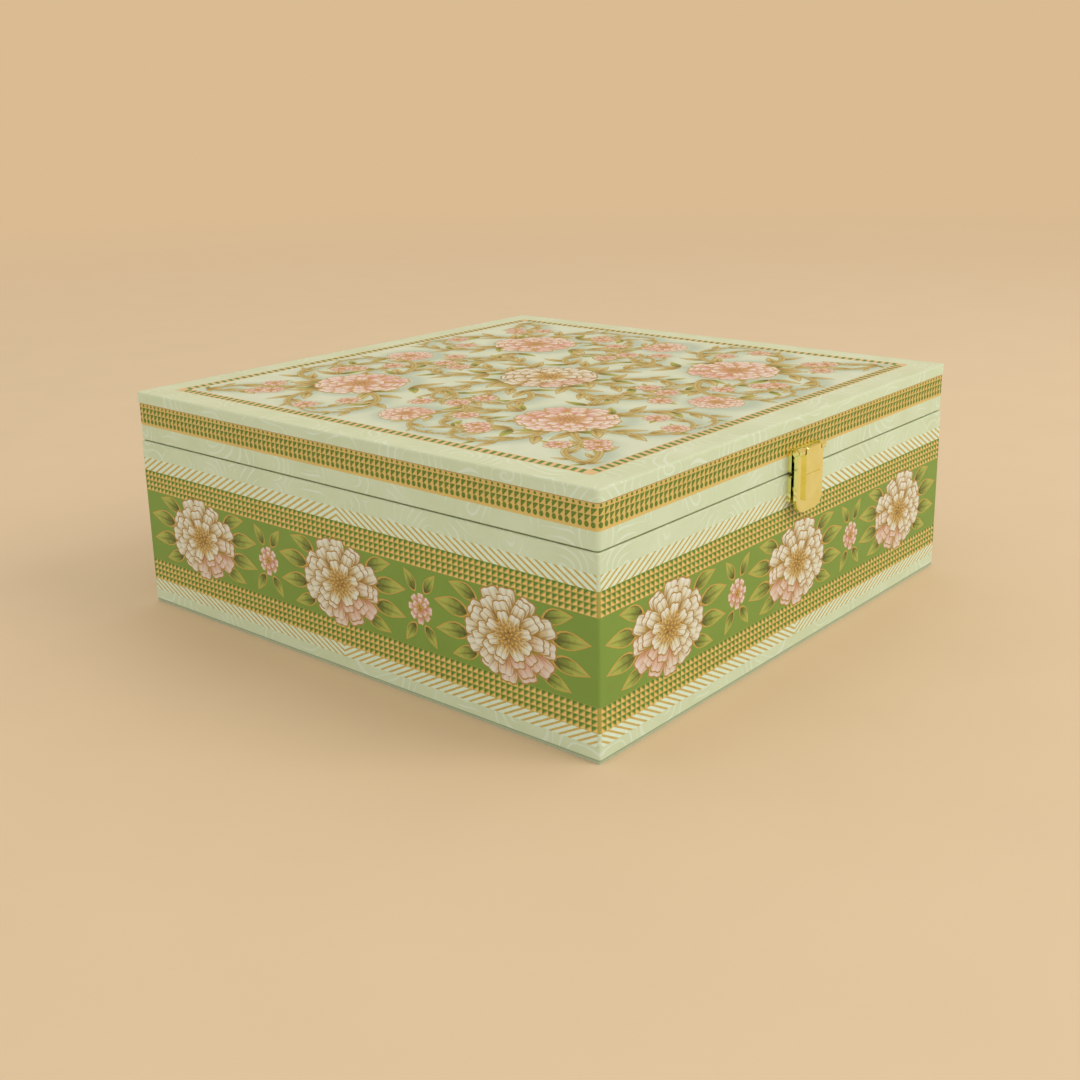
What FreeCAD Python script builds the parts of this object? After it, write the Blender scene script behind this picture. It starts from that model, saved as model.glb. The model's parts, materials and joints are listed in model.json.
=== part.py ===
import FreeCAD, Part
import math
import os
import re
import Sketcher

# A square sweet box: a board base and a hinged board lid, both covered in printed paper, with a gilt flap
# clasp in front and two brass butt hinges behind. Origin at the middle of the underside, the clasp towards
# -Y, the hinges towards +Y, +Z up. All lengths are in millimetres.
sizes = {
    # base and lid
    "box_width": 260.0,  # left to right over the side papers
    "box_depth": 260.0,  # front to back over the side papers
    "base_height": 76.5,  # table to the rim of the base
    "rim_gap": 0.6,  # between the two rims when shut
    "lid_height": 21.9,  # rim of the lid to its top
    "wall_board": 6.0,
    "floor_board": 3.0,
    "top_board": 4.7,
    "top_overhang": 0.4,  # lid top past the lid walls
    "bottom_sheet": 1.2,
    "bottom_inset": 0.4,  # bottom sheet short of the walls
    # papers and linings
    "paper": 0.3,
    "lining": 0.5,
    "base_turn_in": 12.0,  # outer paper turned down inside the base
    "lid_turn_in": 6.0,
    "base_corner": 1.0,
    "lid_corner": 2.2,
    "rim_ease": 0.4,  # flat on the folded edge of the paper at a rim
    "top_round": 1.2,
    # cut nails
    "nail_shank": 1.0,  # side of the square shank
    "nail_length": 5.0,
    "nail_head_radius": 1.3,
    "nail_head_height": 0.5,
    "head_slope": 35.0,  # degrees that the heads of nails and pins slope in
    "nail_clearance": 0.05,
    "nail_tip_room": 0.3,
    # butt hinges
    "hinge_spacing": 150.0,
    "leaf_width": 25.0,
    "leaf_reach": 11.0,  # pin to the far edge of a leaf
    "leaf_thickness": 0.9,
    "leaf_corner": 1.5,
    "knuckle_count": 3,
    "knuckle_gap": 0.3,
    "hinge_pin_radius": 1.15,
    "hinge_face_gap": 0.3,  # barrel to the back of the box
    "hinge_nail_pitch": 15.0,
    "pin_head_height": 0.6,
    "pin_head_lip": 0.4,  # head past the shaft
    "pin_end_play": 0.15,
    "running_clearance": 0.05,
    # clasp plates
    "clasp_width": 20.0,
    "plate_thickness": 1.8,
    "plate_corner": 1.2,
    "plate_seam_gap": 0.25,  # plate short of its rim
    "lid_plate_height": 9.8,
    "base_plate_height": 11.3,
    "plate_nail_pitch": 14.4,
    # clasp pivot
    "pivot_rise": 9.0,  # pivot above the seam
    "pivot_offset": 0.9,  # pivot in front of the back of the flap
    "pivot_radius": 0.8,
    "boss_width": 12.4,
    "boss_radius": 1.35,
    "boss_arm": 1.8,  # height of the arm behind the boss
    "boss_side_gap": 0.3,
    "boss_swing_gap": 0.3,
    "ear_radius": 1.9,
    # clasp flap
    "flap_gap": 1.3,  # plates to the back of the flap
    "flap_thickness": 1.7,
    "flap_drop": 16.2,  # bottom of the flap below the seam
    "flap_round": 6.0,
    "flap_edge_ease": 0.35,
    "panel_width": 11.2,
    "panel_rise": 1.4,
    "panel_drop": 11.0,  # bottom of the raised panel below the seam
    "panel_head": 1.7,  # top of the raised panel above the pivot
    "panel_corner": 0.9,
    "panel_edge_ease": 0.3,
    "line_width": 0.4,  # engraved across the panel at the seam
    "line_depth": 0.35,
    # snap catch behind the flap
    "catch_drop": 5.3,  # middle of the catch below the seam
    "recess_width": 9.0,
    "recess_height": 5.4,
    "recess_depth": 0.9,
    "spring_width": 7.0,
    "spring_thickness": 0.4,
    "spring_half_span": 3.2,
    "spring_rise": 1.8,
    "spring_foot": 2.4,
    "rivet_radius": 0.6,
    "rivet_head_radius": 1.0,
    "rivet_head_height": 0.4,
}

# heights and places that several pieces share
lid_rim = "(base_height + rim_gap)"
seam = "(base_height + rim_gap / 2)"
lid_wall_top = "(base_height + rim_gap + lid_height - paper - top_board)"
board_width = "(box_width - 2 * paper)"
board_depth = "(box_depth - 2 * paper)"
inner_width = "(box_width - 2 * paper - 2 * wall_board)"
inner_depth = "(box_depth - 2 * paper - 2 * wall_board)"
floor_top = "(bottom_sheet + floor_board)"
half_depth = "(box_depth / 2)"
nail_slot = "(nail_shank + 2 * nail_clearance)"
nail_hole = "(nail_shank * sqrt(2) / 2 + nail_clearance)"
knuckle_bore = "(hinge_pin_radius + running_clearance)"
barrel_radius = "(hinge_pin_radius + running_clearance + leaf_thickness)"
hinge_offset = "(hinge_pin_radius + running_clearance + leaf_thickness + hinge_face_gap)"
knuckle_pitch = "((leaf_width + knuckle_gap) / knuckle_count)"
leaf_middle = f"((leaf_reach + {barrel_radius}) / 2)"
pivot_height = f"({seam} + pivot_rise)"
pivot_reach = "(plate_thickness + flap_gap + pivot_offset)"
pivot_bore = "(pivot_radius + running_clearance)"
flap_back = "(plate_thickness + flap_gap)"
flap_front = "(plate_thickness + flap_gap + flap_thickness)"
base_plate_middle = "(base_height - plate_seam_gap - base_plate_height / 2)"
lid_plate_middle = f"({lid_rim} + plate_seam_gap + lid_plate_height / 2)"
catch_height = f"({seam} - catch_drop)"
bow_radius = "((spring_half_span ^ 2 + spring_rise ^ 2) / (2 * spring_rise))"
foot_middle = f"({catch_height} - spring_half_span - spring_foot / 2)"

edge_tolerance = 1e-4
doc = FreeCAD.newDocument("sweet_box")
sheet = doc.addObject("Spreadsheet::Sheet", "Sizes")
subparts = []


def fill_sheet():
    for row, (name, size) in enumerate(sizes.items(), 1):
        sheet.set(f"A{row}", name)
        sheet.set(f"B{row}", str(size))
        sheet.setAlias(f"B{row}", name)
    doc.recompute()


def formula(text):
    """The text with each size's name tied to its cell."""
    return re.sub("|".join(rf"\b{name}\b" for name in sizes), r"Sizes.\g<0>", text)


def value(text):
    return float(sheet.evalExpression(text))


def bind(thing, **properties):
    for name, text in properties.items():
        thing.setExpression(name.replace("__", "."), formula(text))


def new_body(label, across="0", back="0", up="0"):
    body = doc.addObject("PartDesign::Body", label)
    body.Label = label
    body.AllowCompound = True
    bind(body, Placement__Base__x=across, Placement__Base__y=back, Placement__Base__z=up)
    subparts.append(body)
    return body


def origin_feature(body, role):
    return next(item for item in body.Origin.OriginFeatures if item.Role == role)


def sketch_on(body, role, name, across="0", up="0", out="0"):
    """A sketch on one of the body's planes, moved within the plane and out along its normal."""
    sketch = body.newObject("Sketcher::SketchObject", f"{body.Name}_{name}")
    sketch.AttachmentSupport = (origin_feature(body, role), "")
    sketch.MapMode = "FlatFace"
    bind(
        sketch,
        AttachmentOffset__Base__x=across,
        AttachmentOffset__Base__y=up,
        AttachmentOffset__Base__z=out,
    )
    return sketch


def hold(sketch, kind, *places, size):
    """A dimension of the sketch, tied to the sheet."""
    index = sketch.addConstraint(Sketcher.Constraint(kind, *places, value(size)))
    sketch.setExpression(f"Constraints[{index}]", formula(size))


def hold_place(sketch, kind, geometry, point, place):
    """Holds a point at a distance from the sketch's origin, to either side."""
    if value(place) == 0:
        axis = -2 if kind == "DistanceX" else -1
        sketch.addConstraint(Sketcher.Constraint("PointOnObject", geometry, point, axis))
    elif value(place) > 0:
        hold(sketch, kind, -1, 1, geometry, point, size=place)
    else:
        hold(sketch, kind, geometry, point, -1, 1, size=f"-({place})")


def hold_sides(sketch, top, left, bottom, right, width, height, across="0", up="0"):
    hold_place(sketch, "DistanceY", top, 1, f"{up} + ({height}) / 2")
    hold_place(sketch, "DistanceX", left, 1, f"{across} - ({width}) / 2")
    hold_place(sketch, "DistanceY", bottom, 1, f"{up} - ({height}) / 2")
    hold_place(sketch, "DistanceX", right, 1, f"{across} + ({width}) / 2")
    for line in (top, bottom):
        sketch.addConstraint(Sketcher.Constraint("Horizontal", line))
    for line in (left, right):
        sketch.addConstraint(Sketcher.Constraint("Vertical", line))


def rectangle(sketch, width, height, across="0", up="0"):
    x = value(width) / 2
    y = value(height) / 2
    middle = FreeCAD.Vector(value(across), value(up), 0)
    corners = [middle + FreeCAD.Vector(*point, 0) for point in ((x, y), (-x, y), (-x, -y), (x, -y))]
    lines = []
    for start, end in zip(corners, corners[1:] + corners[:1]):
        lines.append(sketch.addGeometry(Part.LineSegment(start, end), False))
    for line, following in zip(lines, lines[1:] + lines[:1]):
        sketch.addConstraint(Sketcher.Constraint("Coincident", line, 2, following, 1))
    hold_sides(sketch, *lines, width, height, across, up)


def rounded_rectangle(sketch, width, height, corner):
    """A rectangle with four round corners about the sketch's own origin."""
    radius = value(corner)
    x = value(width) / 2 - radius
    y = value(height) / 2 - radius
    centres = [FreeCAD.Vector(*point, 0) for point in ((x, y), (-x, y), (-x, -y), (x, -y))]
    upwards = FreeCAD.Vector(0, 0, 1)
    arcs = []
    lines = []
    for turn, (centre, following) in enumerate(zip(centres, centres[1:] + centres[:1])):
        whole = Part.Circle(centre, upwards, radius)
        arc = Part.ArcOfCircle(whole, turn * math.pi / 2, (turn + 1) * math.pi / 2)
        outwards = arc.EndPoint - centre
        arcs.append(sketch.addGeometry(arc, False))
        lines.append(sketch.addGeometry(Part.LineSegment(arc.EndPoint, following + outwards), False))
    for turn in range(4):
        sketch.addConstraint(Sketcher.Constraint("Tangent", arcs[turn], 2, lines[turn], 1))
        sketch.addConstraint(Sketcher.Constraint("Tangent", lines[turn], 2, arcs[(turn + 1) % 4], 1))
    for arc in arcs[1:]:
        sketch.addConstraint(Sketcher.Constraint("Equal", arcs[0], arc))
    hold(sketch, "Radius", arcs[0], size=corner)
    hold_sides(sketch, *lines, width, height)


def circle(sketch, radius, across="0", up="0"):
    centre = FreeCAD.Vector(value(across), value(up), 0)
    index = sketch.addGeometry(Part.Circle(centre, FreeCAD.Vector(0, 0, 1), value(radius)), False)
    hold(sketch, "Radius", index, size=radius)
    hold_place(sketch, "DistanceX", index, 3, across)
    hold_place(sketch, "DistanceY", index, 3, up)


def pad(body, sketch, length, against_normal=False, slope="0"):
    """Thickens a sketch, with sides that slope in by an angle."""
    feature = body.newObject("PartDesign::Pad", f"{sketch.Name}_pad")
    feature.Profile = sketch
    feature.Reversed = against_normal
    bind(feature, Length=length, TaperAngle=f"-{slope}")
    doc.recompute()
    return feature


def pocket(body, sketch, depth, along_normal=False):
    whole = body.Shape.Volume
    feature = body.newObject("PartDesign::Pocket", f"{sketch.Name}_pocket")
    feature.Profile = sketch
    feature.Reversed = along_normal
    bind(feature, Length=depth)
    doc.recompute()
    if not feature.Shape.Volume < whole:
        raise RuntimeError(f"{feature.Name} cuts nothing")
    return feature


def edges_of(base, chosen):
    """The names of the edges that are chosen by their bounding boxes."""
    return [f"Edge{number}" for number, edge in enumerate(base.Shape.Edges, 1) if chosen(edge.BoundBox)]


def fillet(body, base, name, radius, chosen):
    """Rounds the chosen edges of base."""
    feature = body.newObject("PartDesign::Fillet", f"{body.Name}_{name}")
    feature.Base = (base, edges_of(base, chosen))
    bind(feature, Radius=radius)
    doc.recompute()
    return feature


def chamfer(body, base, name, size, chosen):
    """Cuts a flat on the chosen edges of base."""
    feature = body.newObject("PartDesign::Chamfer", f"{body.Name}_{name}")
    feature.Base = (base, edges_of(base, chosen))
    bind(feature, Size=size)
    doc.recompute()
    return feature


def shell(body, base, thickness, chosen):
    """Hollows base to a skin, open at the faces that are chosen by their bounding boxes."""
    faces = []
    for number, face in enumerate(base.Shape.Faces, 1):
        if chosen(face.BoundBox):
            faces.append(f"Face{number}")
    feature = body.newObject("PartDesign::Thickness", f"{body.Name}_shell")
    feature.Base = (base, faces)
    feature.Reversed = True
    feature.Join = "Intersection"
    bind(feature, Value=thickness)
    doc.recompute()
    return feature


def same(first, second):
    return abs(first - second) < edge_tolerance


def level_at(height):
    """Chooses edges or faces that lie flat at a height."""
    return lambda box: same(box.ZMin, value(height)) and same(box.ZMax, value(height))


def facing_at(out):
    """Chooses edges in a plane at a distance in front of the middle of the box."""
    return lambda box: same(box.YMin, -value(out)) and same(box.YMax, -value(out))


def upright_at(out):
    """Chooses the upright ones of those edges."""
    facing = facing_at(out)
    return lambda box: facing(box) and box.ZLength > box.XLength


def repeat(feature, originals):
    """Sets what a pattern repeats: the features named, or else the whole body."""
    if originals:
        feature.Originals = originals
    else:
        feature.TransformMode = "Whole shape"


def linear_pattern(body, originals, name, length, count):
    """Repeats features along X."""
    feature = body.newObject("PartDesign::LinearPattern", f"{body.Name}_{name}")
    repeat(feature, originals)
    feature.Direction = (origin_feature(body, "X_Axis"), [""])
    bind(feature, Length=length, Occurrences=count)
    body.Tip = feature
    doc.recompute()
    return feature


def mirror(body, originals, name):
    """Repeats features on the other side of the body's middle."""
    feature = body.newObject("PartDesign::Mirrored", f"{body.Name}_{name}")
    repeat(feature, originals)
    feature.MirrorPlane = (origin_feature(body, "YZ_Plane"), [""])
    body.Tip = feature
    doc.recompute()
    return feature


def block(label, length, width, height, up, back="0", kept=True):
    """A plain block, centred left to right, with its middle at back and its underside at up."""
    thing = doc.addObject("Part::Box", label)
    thing.Label = label
    bind(thing, Length=length, Width=width, Height=height)
    bind(
        thing,
        Placement__Base__x=f"-({length}) / 2",
        Placement__Base__y=f"{back} - ({width}) / 2",
        Placement__Base__z=up,
    )
    if kept:
        subparts.append(thing)
    return thing


def frame(label, outer, inner, up, height):
    """A thin rectangular frame that stands at a height."""
    body = new_body(label)
    sketch = sketch_on(body, "XY_Plane", "outline", out=up)
    rectangle(sketch, *outer)
    rectangle(sketch, *inner)
    pad(body, sketch, height)


def hinge_nail_slots(sketch, up):
    """Square holes that the nails of both hinges make, in a sketch on the back of the box."""
    for side in ("-", ""):
        for end in ("-", "+"):
            place = f"{side}hinge_spacing / 2 {end} hinge_nail_pitch / 2"
            rectangle(sketch, nail_slot, nail_slot, across=place, up=up)


def plate_nail_slots(sketch, up):
    """Square holes that the nails of a clasp plate make, in a sketch on the front of the box."""
    for side in ("-", ""):
        rectangle(sketch, nail_slot, nail_slot, across=f"{side}plate_nail_pitch / 2", up=up)


def face_wall(label, back, corner, bottom, top, nail_height):
    """A full-width front or back board, with round outer corners and pilot holes from outside."""
    body = new_body(label)
    outside = f"-{board_depth} / 2" if back else f"{board_depth} / 2"
    middle = f"({board_depth} - wall_board) / 2" if back else f"-({board_depth} - wall_board) / 2"
    outline = sketch_on(body, "XY_Plane", "outline", up=middle, out=bottom)
    rectangle(outline, board_width, "wall_board")
    board = pad(body, outline, f"{top} - {bottom}")
    fillet(body, board, "corners", f"{corner} - paper", upright_at(outside))
    holes = sketch_on(body, "XZ_Plane", "holes", out=outside)
    if back:
        hinge_nail_slots(holes, nail_height)
        depth = "nail_length - leaf_thickness - paper + nail_tip_room"
    else:
        plate_nail_slots(holes, nail_height)
        depth = "nail_length - plate_thickness - paper + nail_tip_room"
    pocket(body, holes, depth, along_normal=back)


def side_wall(label, side, bottom, top):
    """A left or right board between the front and back boards."""
    body = new_body(label)
    middle = f"{side}({board_width} - wall_board) / 2"
    outline = sketch_on(body, "XY_Plane", "outline", across=middle, out=bottom)
    rectangle(outline, "wall_board", inner_depth)
    pad(body, outline, f"{top} - {bottom}")


def walls(piece, corner, bottom, top, hinge_nail_height, plate_nail_height):
    face_wall(f"{piece}_front_wall", False, corner, bottom, top, plate_nail_height)
    face_wall(f"{piece}_back_wall", True, corner, bottom, top, hinge_nail_height)
    side_wall(f"{piece}_left_wall", "-", bottom, top)
    side_wall(f"{piece}_right_wall", "", bottom, top)


def paper_ring(sketch, outer_inset, inner_inset, corner=None):
    """Two outlines, each set in from the outside of the box."""
    outer = (f"box_width - 2 * ({outer_inset})", f"box_depth - 2 * ({outer_inset})")
    inner = (f"box_width - 2 * ({inner_inset})", f"box_depth - 2 * ({inner_inset})")
    if corner:
        rounded_rectangle(sketch, *outer, corner)
    else:
        rectangle(sketch, *outer)
    rectangle(sketch, *inner)


def wall_wrap(label, corner, ends, turn_in, hinge_nail_height, plate_nail_height):
    """Printed paper round four walls, folded over their rim and a little way along the inside."""
    body = new_body(label)
    rim, far_end = ends
    upright = value(rim) > value(far_end)
    height = f"({rim} - {far_end})" if upright else f"({far_end} - {rim})"
    sleeve = sketch_on(body, "XY_Plane", "sleeve", out=far_end)
    paper_ring(sleeve, "0", "2 * paper + wall_board", corner)
    solid = pad(body, sleeve, height, against_normal=not upright)
    chamfer(body, solid, "rim", "rim_ease", level_at(rim))
    slot = sketch_on(body, "XY_Plane", "slot", out=far_end)
    paper_ring(slot, "paper", "paper + wall_board", f"{corner} - paper")
    pocket(body, slot, f"{height} - paper", along_normal=upright)
    trim = sketch_on(body, "XY_Plane", "trim", out=far_end)
    paper_ring(trim, "paper + wall_board", "2 * paper + wall_board")
    pocket(body, trim, f"{height} - {turn_in}", along_normal=upright)
    back_holes = sketch_on(body, "XZ_Plane", "back_holes", out=f"-{half_depth}")
    hinge_nail_slots(back_holes, hinge_nail_height)
    pocket(body, back_holes, "paper", along_normal=True)
    front_holes = sketch_on(body, "XZ_Plane", "front_holes", out=half_depth)
    plate_nail_slots(front_holes, plate_nail_height)
    pocket(body, front_holes, "paper")


def base():
    hinge_nails = f"{seam} - {leaf_middle}"
    walls("base", "base_corner", "bottom_sheet", "(base_height - paper)", hinge_nails, base_plate_middle)
    block("base_floor_board", inner_width, inner_depth, "floor_board", "bottom_sheet")
    sheet_size = ("box_width - 2 * bottom_inset", "box_depth - 2 * bottom_inset")
    block("bottom_cover_sheet", *sheet_size, "bottom_sheet", "0")
    ends = ("base_height", "bottom_sheet")
    wall_wrap("base_wrap", "base_corner", ends, "base_turn_in", hinge_nails, base_plate_middle)
    block("base_floor_lining", inner_width, inner_depth, "lining", floor_top)
    frame(
        "base_wall_lining",
        (inner_width, inner_depth),
        (f"({inner_width} - 2 * lining)", f"({inner_depth} - 2 * lining)"),
        f"{floor_top} + lining",
        f"base_height - base_turn_in - {floor_top} - lining",
    )


def lid():
    hinge_nails = f"{seam} + {leaf_middle}"
    walls("lid", "lid_corner", f"({lid_rim} + paper)", lid_wall_top, hinge_nails, lid_plate_middle)
    ends = (lid_rim, lid_wall_top)
    wall_wrap("lid_side_wrap", "lid_corner", ends, "lid_turn_in", hinge_nails, lid_plate_middle)
    block("lid_ceiling_lining", inner_width, inner_depth, "lining", f"{lid_wall_top} - lining")
    frame(
        "lid_wall_lining",
        (inner_width, inner_depth),
        (f"({inner_width} - 2 * lining)", f"({inner_depth} - 2 * lining)"),
        f"{lid_rim} + lid_turn_in",
        f"{lid_wall_top} - lining - {lid_rim} - lid_turn_in",
    )


def lid_top():
    """The lid's top board with eased top edges, and the paper cap folded round over it."""
    cap_size = ("(box_width + 2 * top_overhang)", "(box_depth + 2 * top_overhang)")
    board_size = tuple(f"({size} - 2 * paper)" for size in cap_size)
    cap = new_body("lid_top_wrap")
    outline = sketch_on(cap, "XY_Plane", "outline", out=lid_wall_top)
    rounded_rectangle(outline, *cap_size, "lid_corner")
    solid = pad(cap, outline, "top_board + paper")
    rounded = fillet(cap, solid, "top_edges", "top_round", level_at(f"{lid_wall_top} + top_board + paper"))
    shell(cap, rounded, "paper", level_at(lid_wall_top))
    board = new_body("lid_top_board")
    face = sketch_on(board, "XY_Plane", "outline", out=lid_wall_top)
    rounded_rectangle(face, *board_size, "lid_corner - paper")
    panel = pad(board, face, "top_board")
    chamfer(board, panel, "top_edges", "top_round - paper", level_at(f"{lid_wall_top} + top_board"))


def hinge_leaf(label, side, on_lid):
    """A leaf with its row of rolled knuckles, about the hinge pin."""
    body = new_body(label, f"{side}hinge_spacing / 2", f"{half_depth} + {hinge_offset}", seam)
    sign = "" if on_lid else "-"
    plate_height = f"{sign}{leaf_middle}"
    plate = sketch_on(body, "XZ_Plane", "plate", up=plate_height, out=f"{hinge_offset} - leaf_thickness")
    rounded_rectangle(plate, "leaf_width", f"(leaf_reach - {barrel_radius})", "leaf_corner")
    for end in ("-", ""):
        circle(plate, nail_hole, across=f"{end}hinge_nail_pitch / 2")
    pad(body, plate, "leaf_thickness")
    first_knuckle = f"-leaf_width / 2 + {knuckle_pitch}" if on_lid else "-leaf_width / 2"
    ring = sketch_on(body, "YZ_Plane", "knuckle", out=first_knuckle)
    circle(ring, barrel_radius)
    circle(ring, knuckle_bore)
    knuckle = pad(body, ring, f"{knuckle_pitch} - knuckle_gap")
    tongue_reach = f"({barrel_radius} + leaf_corner)"
    tongue = sketch_on(
        body,
        "YZ_Plane",
        "tongue",
        across=f"-{hinge_offset} + leaf_thickness / 2",
        up=f"{sign}{tongue_reach} / 2",
        out=first_knuckle,
    )
    rectangle(tongue, "leaf_thickness", tongue_reach)
    neck = pad(body, tongue, f"{knuckle_pitch} - knuckle_gap")
    count = "(knuckle_count - 1) / 2" if on_lid else "(knuckle_count + 1) / 2"
    linear_pattern(body, [knuckle, neck], "knuckles", f"2 * {knuckle_pitch} * ({count} - 1)", count)


def headed_pin(label, length, radius, across="0", back="0", up="0"):
    """A pin along X with a sloping head at each end."""
    body = new_body(label, across, back, up)
    shaft = sketch_on(body, "YZ_Plane", "shaft", out=f"-({length}) / 2")
    circle(shaft, radius)
    pad(body, shaft, length)
    head = sketch_on(body, "YZ_Plane", "head", out=f"({length}) / 2")
    circle(head, f"{radius} + pin_head_lip")
    disc = pad(body, head, "pin_head_height", slope="head_slope")
    mirror(body, [disc], "heads")


def nail(body, across, up, seat):
    """A cut nail that points into the front of the box, its round head on a seat."""
    head = sketch_on(body, "XZ_Plane", "head", across, up, seat)
    circle(head, "nail_head_radius")
    pad(body, head, "nail_head_height", slope="head_slope")
    shank = sketch_on(body, "XZ_Plane", "shank", across, up, seat)
    rectangle(shank, "nail_shank", "nail_shank")
    pad(body, shank, "nail_length", against_normal=True)


def plate_nails(label, up):
    body = new_body(label)
    nail(body, "plate_nail_pitch / 2", up, f"{half_depth} + plate_thickness")
    mirror(body, [], "pair")


def hinge_nails(label, up):
    """Four nails, made for the front and turned about the upright axis to the back."""
    body = new_body(label)
    body.Placement.Rotation = FreeCAD.Rotation(FreeCAD.Vector(0, 0, 1), 180)
    nail(body, "hinge_spacing / 2 - hinge_nail_pitch / 2", up, f"{half_depth} + leaf_thickness")
    linear_pattern(body, [], "pair", "hinge_nail_pitch", "2")
    mirror(body, [], "pairs")


def hinges():
    for name, side in (("left", "-"), ("right", "")):
        hinge_leaf(f"{name}_hinge_base_leaf", side, False)
        hinge_leaf(f"{name}_hinge_lid_leaf", side, True)
        headed_pin(
            f"{name}_hinge_pin",
            "leaf_width + 2 * pin_end_play",
            "hinge_pin_radius",
            f"{side}hinge_spacing / 2",
            f"{half_depth} + {hinge_offset}",
            seam,
        )
    hinge_nails("hinge_base_nails", f"{seam} - {leaf_middle}")
    hinge_nails("hinge_lid_nails", f"{seam} + {leaf_middle}")


def clasp_plate(body, middle, height):
    outline = sketch_on(body, "XZ_Plane", "plate", up=middle, out=half_depth)
    rounded_rectangle(outline, "clasp_width", height, "plate_corner")
    for side in ("-", ""):
        circle(outline, nail_hole, across=f"{side}plate_nail_pitch / 2")
    return outline


def clasp_base_plate():
    body = new_body("latch_base_plate")
    outline = clasp_plate(body, base_plate_middle, "base_plate_height")
    circle(outline, "rivet_radius", up=f"{foot_middle} - {base_plate_middle}")
    pad(body, outline, "plate_thickness")


def pivot_disc(body, name, radius, start):
    """A sketched disc about the clasp's pivot, at a place along the pivot."""
    sketch = sketch_on(
        body, "YZ_Plane", name, across=f"-({half_depth} + {pivot_reach})", up=pivot_height, out=start
    )
    circle(sketch, radius)
    return sketch


def clasp_lid_plate():
    """The lid's plate with the boss that carries the pivot pin."""
    body = new_body("latch_lid_plate")
    pad(body, clasp_plate(body, lid_plate_middle, "lid_plate_height"), "plate_thickness")
    arm = sketch_on(body, "XZ_Plane", "arm", up=pivot_height, out=half_depth)
    rectangle(arm, "boss_width", "boss_arm")
    pad(body, arm, pivot_reach)
    pad(body, pivot_disc(body, "nose", "boss_radius", "-boss_width / 2"), "boss_width")
    pocket(body, pivot_disc(body, "bore", pivot_bore, "-boss_width / 2"), "boss_width", along_normal=True)


def flap_plate(body):
    """The flap's flat plate, with a round bottom and eased front edges."""
    low = f"({seam} - flap_drop)"
    back = f"{half_depth} + {flap_back}"
    front = f"{half_depth} + {flap_front}"
    outline = sketch_on(body, "XZ_Plane", "plate", up=f"({low} + {pivot_height}) / 2", out=back)
    rectangle(outline, "clasp_width", f"({pivot_height} - {low})")
    plate = pad(body, outline, "flap_thickness")
    bottom = level_at(low)
    corners = lambda box: bottom(box) and box.XLength < edge_tolerance
    shield = fillet(body, plate, "bottom_corners", "flap_round", corners)
    facing = facing_at(front)
    at_top = level_at(pivot_height)
    chamfer(body, shield, "edges", "flap_edge_ease", lambda box: facing(box) and not at_top(box))


def flap_panel(body):
    """The raised panel on the flap's face, eased all round and engraved with a line at the seam."""
    low = f"({seam} - panel_drop)"
    high = f"({pivot_height} + panel_head)"
    seat = f"{half_depth} + {flap_front}"
    face = f"{seat} + panel_rise"
    outline = sketch_on(body, "XZ_Plane", "panel", up=f"({low} + {high}) / 2", out=seat)
    rounded_rectangle(outline, "panel_width", f"({high} - {low})", "panel_corner")
    panel = pad(body, outline, "panel_rise")
    chamfer(body, panel, "panel_edges", "panel_edge_ease", facing_at(face))
    line = sketch_on(body, "XZ_Plane", "line", up=seam, out=face)
    rectangle(line, "panel_width", "line_width")
    pocket(body, line, "line_depth")


def flap():
    """The swinging flap: plate, ears on the pivot, raised panel, and a recess behind for the catch."""
    body = new_body("latch_lever")
    flap_plate(body)
    ear_start = "(boss_width / 2 + boss_side_gap)"
    face = f"{half_depth} + {flap_front}"
    ear = pad(body, pivot_disc(body, "ear", "ear_radius", ear_start), f"clasp_width / 2 - {ear_start}")
    mirror(body, [ear], "ears")
    flap_panel(body)
    relief = pivot_disc(body, "relief", "boss_radius + boss_swing_gap", f"-{ear_start}")
    pocket(body, relief, f"2 * {ear_start}", along_normal=True)
    lip = sketch_on(body, "XZ_Plane", "lip", up=f"{pivot_height} + panel_head", out=face)
    rectangle(lip, f"2 * {ear_start}", "2 * panel_head")
    pocket(body, lip, "pivot_offset + boss_radius + boss_swing_gap - flap_thickness", along_normal=True)
    pocket(body, pivot_disc(body, "bore", pivot_bore, "-clasp_width / 2"), "clasp_width", along_normal=True)
    recess = sketch_on(body, "XZ_Plane", "recess", up=catch_height, out=f"{half_depth} + {flap_back}")
    rectangle(recess, "recess_width", "recess_height")
    pocket(body, recess, "recess_depth", along_normal=True)


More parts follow.
